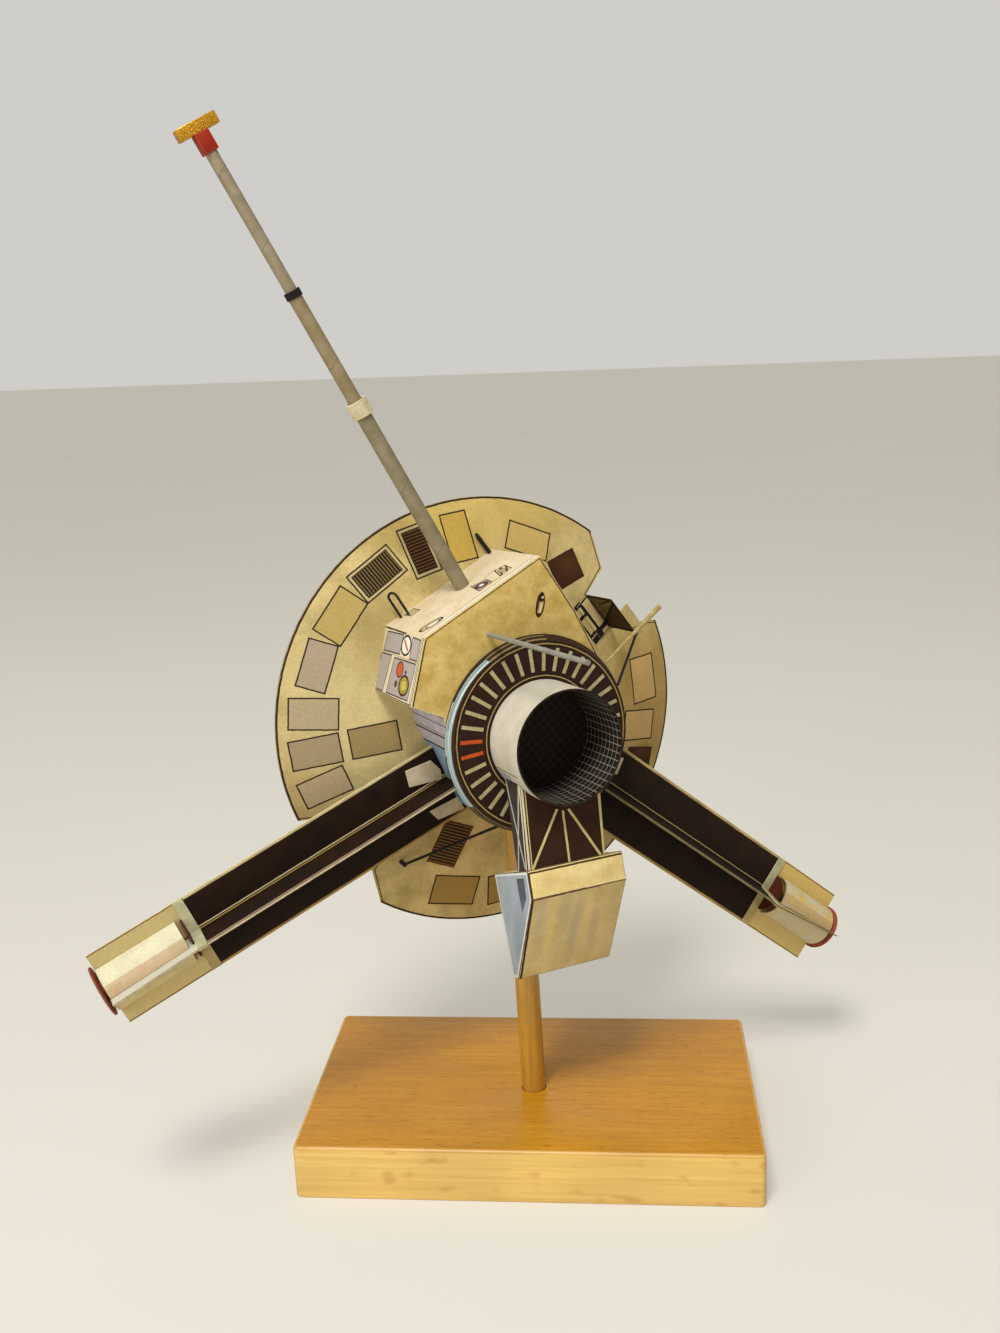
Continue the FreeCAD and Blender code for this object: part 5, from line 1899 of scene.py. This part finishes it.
@dataclass
class RodsAndWires:
    """The sticks, struts and small black wires."""

    shop: WireShop = field(default_factory=WireShop)
    gap: float = 0.1
    loop_lift: float = 1.0
    leg_steps: int = 5
    bend_steps: int = 8
    rod_foot: Triple = (-14.4, 33.0, -3.5)
    rod_length: float = 62.0
    pod_start: Triple = (31.5, 37.0, -3.4)
    pod_end: Triple = (71.4, 23.6, -36.4)
    strut_foot: Triple = (31.6, 21.0, -4.0)
    strut_meets: float = 0.585
    post_at: Pair = (56.6, 231.6)
    post_height: float = 3.0
    post_over: float = 0.5
    wire_end: Triple = (26.0, 263.0, -16.9)
    wire_aside: Pair = (14.0, 353.0)
    rod: float = 1.5
    pod_tip: Pair = (0.7, 2.0)
    heavy_wire: float = 0.9
    fine_wire: float = 0.8

    def loop_path(self, aside: float, length: float, width: float, lean: float, turn: float) -> list[Vector]:
        """The hairpin's path: up one leg, round and down the other.

        Args:
            aside: How far along the boom's face it stands, in millimetres.
            length: Its height in millimetres.
            width: The distance between its legs in millimetres.
            lean: How far it leans towards the dish, in degrees.
            turn: How far its legs are turned about its height, in degrees.

        Returns:
            The points of its path.
        """
        outward, level = BOOM_FACE.outward(), BOOM_FACE.along()
        angle = math.radians(lean)
        rise = outward * math.cos(angle) - Vector((0, 0, math.sin(angle)))
        upright = Vector((0, 0, math.cos(angle))) + outward * math.sin(angle)
        spread = upright * math.cos(math.radians(turn)) + level * math.sin(math.radians(turn))
        foot = outward * (BOOM_FACE.distance + self.gap) + level * aside
        foot.z = Dish().back_at(foot.length) + self.loop_lift + width
        half = width / 2
        leg = [rise * (i / self.leg_steps * (length - half)) for i in range(self.leg_steps)]
        path = [foot - spread * half + step for step in leg]
        for i in range(self.bend_steps + 1):
            angle = math.pi * i / self.bend_steps
            top = rise * (length - half + half * math.sin(angle))
            path.append(foot + top - spread * (half * math.cos(angle)))
        return path + [foot + spread * half + step for step in reversed(leg)]

    def build(self) -> None:
        """Make every rod and wire."""
        grey = PlainCard("stick_grey_painted", "938f80", "827c6c", cloud=4.0)
        tan = PlainCard("stick_tan_painted", "c2ad72", "a8925a", cloud=4.0)
        black = PlainCard("wire_black_lacquered", "16130f", "241e18", roughness=0.45, cloud=3.0, relief=0.02)
        wire = self.shop.wire
        foot = Vector(self.rod_foot)
        tip = foot + Vector((0, 0, self.rod_length))
        wire("probe_rod_stick", [foot, tip], self.rod, self.rod, grey, "white_stick", ["probe_rod"])
        start, end = polar(*self.pod_start), polar(*self.pod_end)
        wire("pod_rod_stick", [start, end], *self.pod_tip, tan, "white_stick", ["pod_rod"])
        strut = [polar(*self.strut_foot), start.lerp(end, self.strut_meets)]
        heavy = (self.heavy_wire, self.heavy_wire, black, "black_paper")
        wire("rim_strut_wire", strut, *heavy, ["rim_strut"])
        post = polar(*self.post_at, Dish().back_at(self.post_at[0]) + self.gap)
        knee = post + Vector((0, 0, self.post_height))
        wall = polar(*self.wire_end) + polar(*self.wire_aside)
        wire("edge_wire_run", [knee, wall], *heavy, ["edge_wire"])
        tip = knee + Vector((0, 0, self.post_over))
        wire("edge_wire_post", [post, tip], self.rod, self.rod, black, "black_paper", [])
        # Of each loop: its name, and the sizes that loop_path takes.
        loops = (
            ("left_wire_loop", -9.3, 8.6, 3.2, 8.0, 37.0), ("right_wire_loop", 26.6, 7.6, 1.9, 22.0, 0.0),
        )
        for name, *sizes in loops:
            path = self.loop_path(*sizes)
            wire(name + "_bent", path, self.fine_wire, self.fine_wire, black, "black_paper", [name])


@dataclass
class Support:
    """The thruster's card wall in the notch, its foot flap and the light tab beside it."""

    deep: float = 52.35
    near: float = 43.5
    far: float = 27.5
    foot: float = -37.6
    top: float = -20.6
    field: tuple[Pair, Pair] = ((-0.5, 4.0), (14.8, 9.0))
    windows: tuple[tuple[Pair, Pair], ...] = (
        ((0.7, 0.8), (11.3, 3.9)), ((13.0, 0.8), (14.3, 3.6)), ((4.9, 5.0), (10.9, 8.2)),
        ((1.0, 5.2), (3.6, 8.2)),
        ((12.0, 6.0), (12.4, 8.8)),
    )
    lattice_ink: str = "1a120d"

    def ends(self) -> tuple[Vector, Vector]:
        """Both ends of the wall's line in the notch."""
        return polar(self.deep, self.near), polar(self.deep, self.far)

    def wall_print(self) -> PrintedCard:
        """The wall: an olive window and a dark one in a black frame, with a diagonal and two struts.

        Returns:
            The print, in millimetres along the wall and along the axis.
        """
        start, end = self.ends()
        place = face_place(start, end - start, (0, 0, 1))
        frame_ink = "17100c"
        width = (end - start).length
        low, high = self.foot, self.top
        shapes: list[Print] = [
            patch("4a3220", ((12.2, low), (width, low), (width, high), (1.5, high))),
            stroke((12.2, low), (1.5, high), 1.1, frame_ink),
            stroke((0.3, high), (3.5, low + 5.2), 0.6, frame_ink),
            stroke((12.0, low + 5.3), (width - 0.8, high - 1.2), 0.6, frame_ink),
            stroke((3.5, low + 5.2), (12.0, low + 5.3), 0.5, frame_ink),
        ]
        near, far, top = 0.4, width - 0.4, high - 0.4
        shapes += border(((near, low), (near, top), (far, top), (far, low)), 0.9, frame_ink)
        return PrintedCard(
            "printed_card_support_wall", "7c6c48", "6b5c36", cloud=4.0, place=place, shapes=shapes,
        )

    def foot_print(self) -> PrintedCard:
        """The foot flap: cream windows in a black lattice."""
        start, end = self.ends()
        place = face_place(start, end - start, -(start + end))
        shapes = tuple(patch("c8b27c", band(*window)) for window in self.windows)
        return PrintedCard(
            "printed_card_support_foot", self.lattice_ink, "241a12", cloud=4.0, place=place, shapes=shapes,
        )

    def lattice(self) -> list[Print]:
        """The lattice's windows as the dish's own print carries them on, past the end of the flap.

        Returns:
            The shapes, in the dish's own millimetres.
        """
        start, end = self.ends()
        along = (end - start).normalized()
        inward = -(start + end).normalized()
        prints: list[Print] = []
        fills = [self.lattice_ink] + ["b8a46c"] * len(self.windows)
        for fill, (low, high) in zip(fills, (self.field, *self.windows)):
            spots = [start + along * a + inward * b for a, b in band(low, high)]
            prints.append(patch(fill, tuple((p.x, p.y) for p in spots)))
        return prints

    def build(self) -> None:
        """Dress the wall, the foot and the tab."""
        dress("thruster_wall", [Coat(self.wall_print())], BROWN_EDGE, fold=0.06, steps=1)
        dress("thruster_foot", [Coat(self.foot_print())], CUT_EDGE, fold=0.06, steps=1)
        tab = PlainCard("card_rim_tab", "c9b67e", "b5a069", cloud=3.0)
        dress("rim_tab", [Coat(tab)], CUT_EDGE, fold=0.06, steps=1)


@dataclass(frozen=True)
class Lamp:
    """A square studio lamp with a soft screen, aimed at the probe; places in metres, power in watts."""

    name: str
    place: Triple
    size: float
    power: float
    aim: Triple = (0, 0, 0.12)

    def add(self) -> None:
        """Set the lamp in the scene."""
        data = bpy.data.lights.new(self.name, "AREA")
        data.size = self.size
        data.energy = self.power
        lamp = bpy.data.objects.new(self.name, data)
        ray = Vector(self.aim) - Vector(self.place)
        lamp.matrix_world = Matrix.Translation(self.place) @ ray.to_track_quat("-Z", "Y").to_matrix().to_4x4()
        bpy.context.scene.collection.objects.link(lamp)


@dataclass
class Studio:
    """Camera, floor and light."""

    eye: Triple = (30.79, -396.72, 260.35)
    yaw: float = 0.0931596
    pitch: float = -0.2397915
    roll: float = -0.0372245
    lens: float = 46.8
    sensor: float = 36.0
    near_clip: float = 0.01
    floor_reach: float = 14.0
    lamps: tuple[Lamp, ...] = (
        Lamp("key_lamp", (-0.14, -0.575, 1.09), 0.3, 9.5), Lamp("fill_lamp", (-1.05, -1.35, 0.62), 1.0, 8.0),
    )
    world_light: float = 0.47
    world_seen: float = 0.72

    def add_camera(self) -> None:
        """Set the camera at the photograph's place and angle."""
        ahead = Vector((
            -math.sin(self.yaw) * math.cos(self.pitch),
            math.cos(self.yaw) * math.cos(self.pitch),
            math.sin(self.pitch),
        ))
        right = Vector((math.cos(self.yaw), math.sin(self.yaw), 0.0))
        up = right.cross(ahead)
        side = right * math.cos(self.roll) + up * math.sin(self.roll)
        top = up * math.cos(self.roll) - right * math.sin(self.roll)
        data = bpy.data.cameras.new("photo_camera")
        data.lens = self.lens
        data.sensor_width = self.sensor
        data.sensor_fit = "HORIZONTAL"
        data.clip_start = self.near_clip
        camera = bpy.data.objects.new("photo_camera", data)
        turn = Matrix((side, top, -ahead)).transposed().to_4x4()
        camera.matrix_world = Matrix.Translation(Vector(self.eye) * MM) @ turn
        bpy.context.scene.collection.objects.link(camera)
        bpy.context.scene.camera = camera

    def add_floor(self) -> None:
        """Lay the pale floor."""
        mesh = bpy.data.meshes.new("floor")
        reach = self.floor_reach
        corners = [(-reach, -reach, 0), (reach, -reach, 0), (reach, reach, 0), (-reach, reach, 0)]
        mesh.from_pydata(corners, [], [(0, 1, 2, 3)])
        floor = bpy.data.objects.new("floor", mesh)
        paper = PaleFloor("pale_studio_paper", "e8e4d8", "e4e0d4", cloud=400.0, relief=0.0, speck=0.01)
        mesh.materials.append(paper.build())
        bpy.context.scene.collection.objects.link(floor)

    def add_light(self) -> None:
        """Light the object with a lamp high in front, a weak one low at the left and a pale world."""
        for lamp in self.lamps:
            lamp.add()
        world = bpy.data.worlds.new("pale_world")
        world.use_nodes = True
        tree = world.node_tree
        tree.nodes.clear()
        strength = add_node(
            tree, "ShaderNodeMapRange",
            {"Value": shown_rays(tree), "To Min": self.world_light, "To Max": self.world_seen},
        )
        sky = add_node(tree, "ShaderNodeBackground", {"Color": linear("f0eee9"), "Strength": strength})
        add_node(tree, "ShaderNodeOutputWorld", {"Surface": sky})
        bpy.context.scene.world = world


LEFT_ARM = PowerArm(
    name="left", degrees=202.9, tilt=-2.5, drop=25.4, roll=5.3, aside=5.6, lean=-4.5, top_turn=-90,
    can=("dcd5b2", "cdb490", "d5c791"), fins=("c4bfa8", "c6b27a", "d8c184"),
    strips=((1.9, "6e5f4e"), (0.95, "d9c98f"), (0.95, "b8944a")),
    lines=((0.55, 1.0, "b8994c"), (1.35, 1.75, "e0d4a8")), blotch="8c7c64", edge=("c4b48e", "a08c6c"),
)
RIGHT_ARM = PowerArm(
    name="right", degrees=321.0, tilt=-0.4, drop=13.4, roll=-1.5, aside=0.2, lean=-13.6, top_turn=90,
    can=("d7b86a", "c9ab66", "c4bda2"), fins=("b39c66", "d2b267", "d0b672"),
    strips=((2.6, "83774f"), (1.0, "bfa76c"), (1.0, "b59a58")),
    lines=((0.85, 1.15, "b5a06a"),), blotch="5a4020", edge=("83774f", "6b5a36"),
)


def main() -> None:
    """Build the studio and dress every piece."""
    bpy.context.scene.view_settings.view_transform = "Standard"
    studio = Studio()
    studio.add_camera()
    studio.add_floor()
    studio.add_light()
    Stand().dress()
    Dish().build()
    Bus().build()
    RearEnd().build()
    HoodAndTruss().build()
    for arm in (LEFT_ARM, RIGHT_ARM):
        arm.build()
    Boom().build()
    RodsAndWires().build()
    Support().build()
    Feed().build()


if __name__ == "__main__":
    logging.basicConfig(level=logging.INFO, format="%(name)s: %(message)s")
    main()
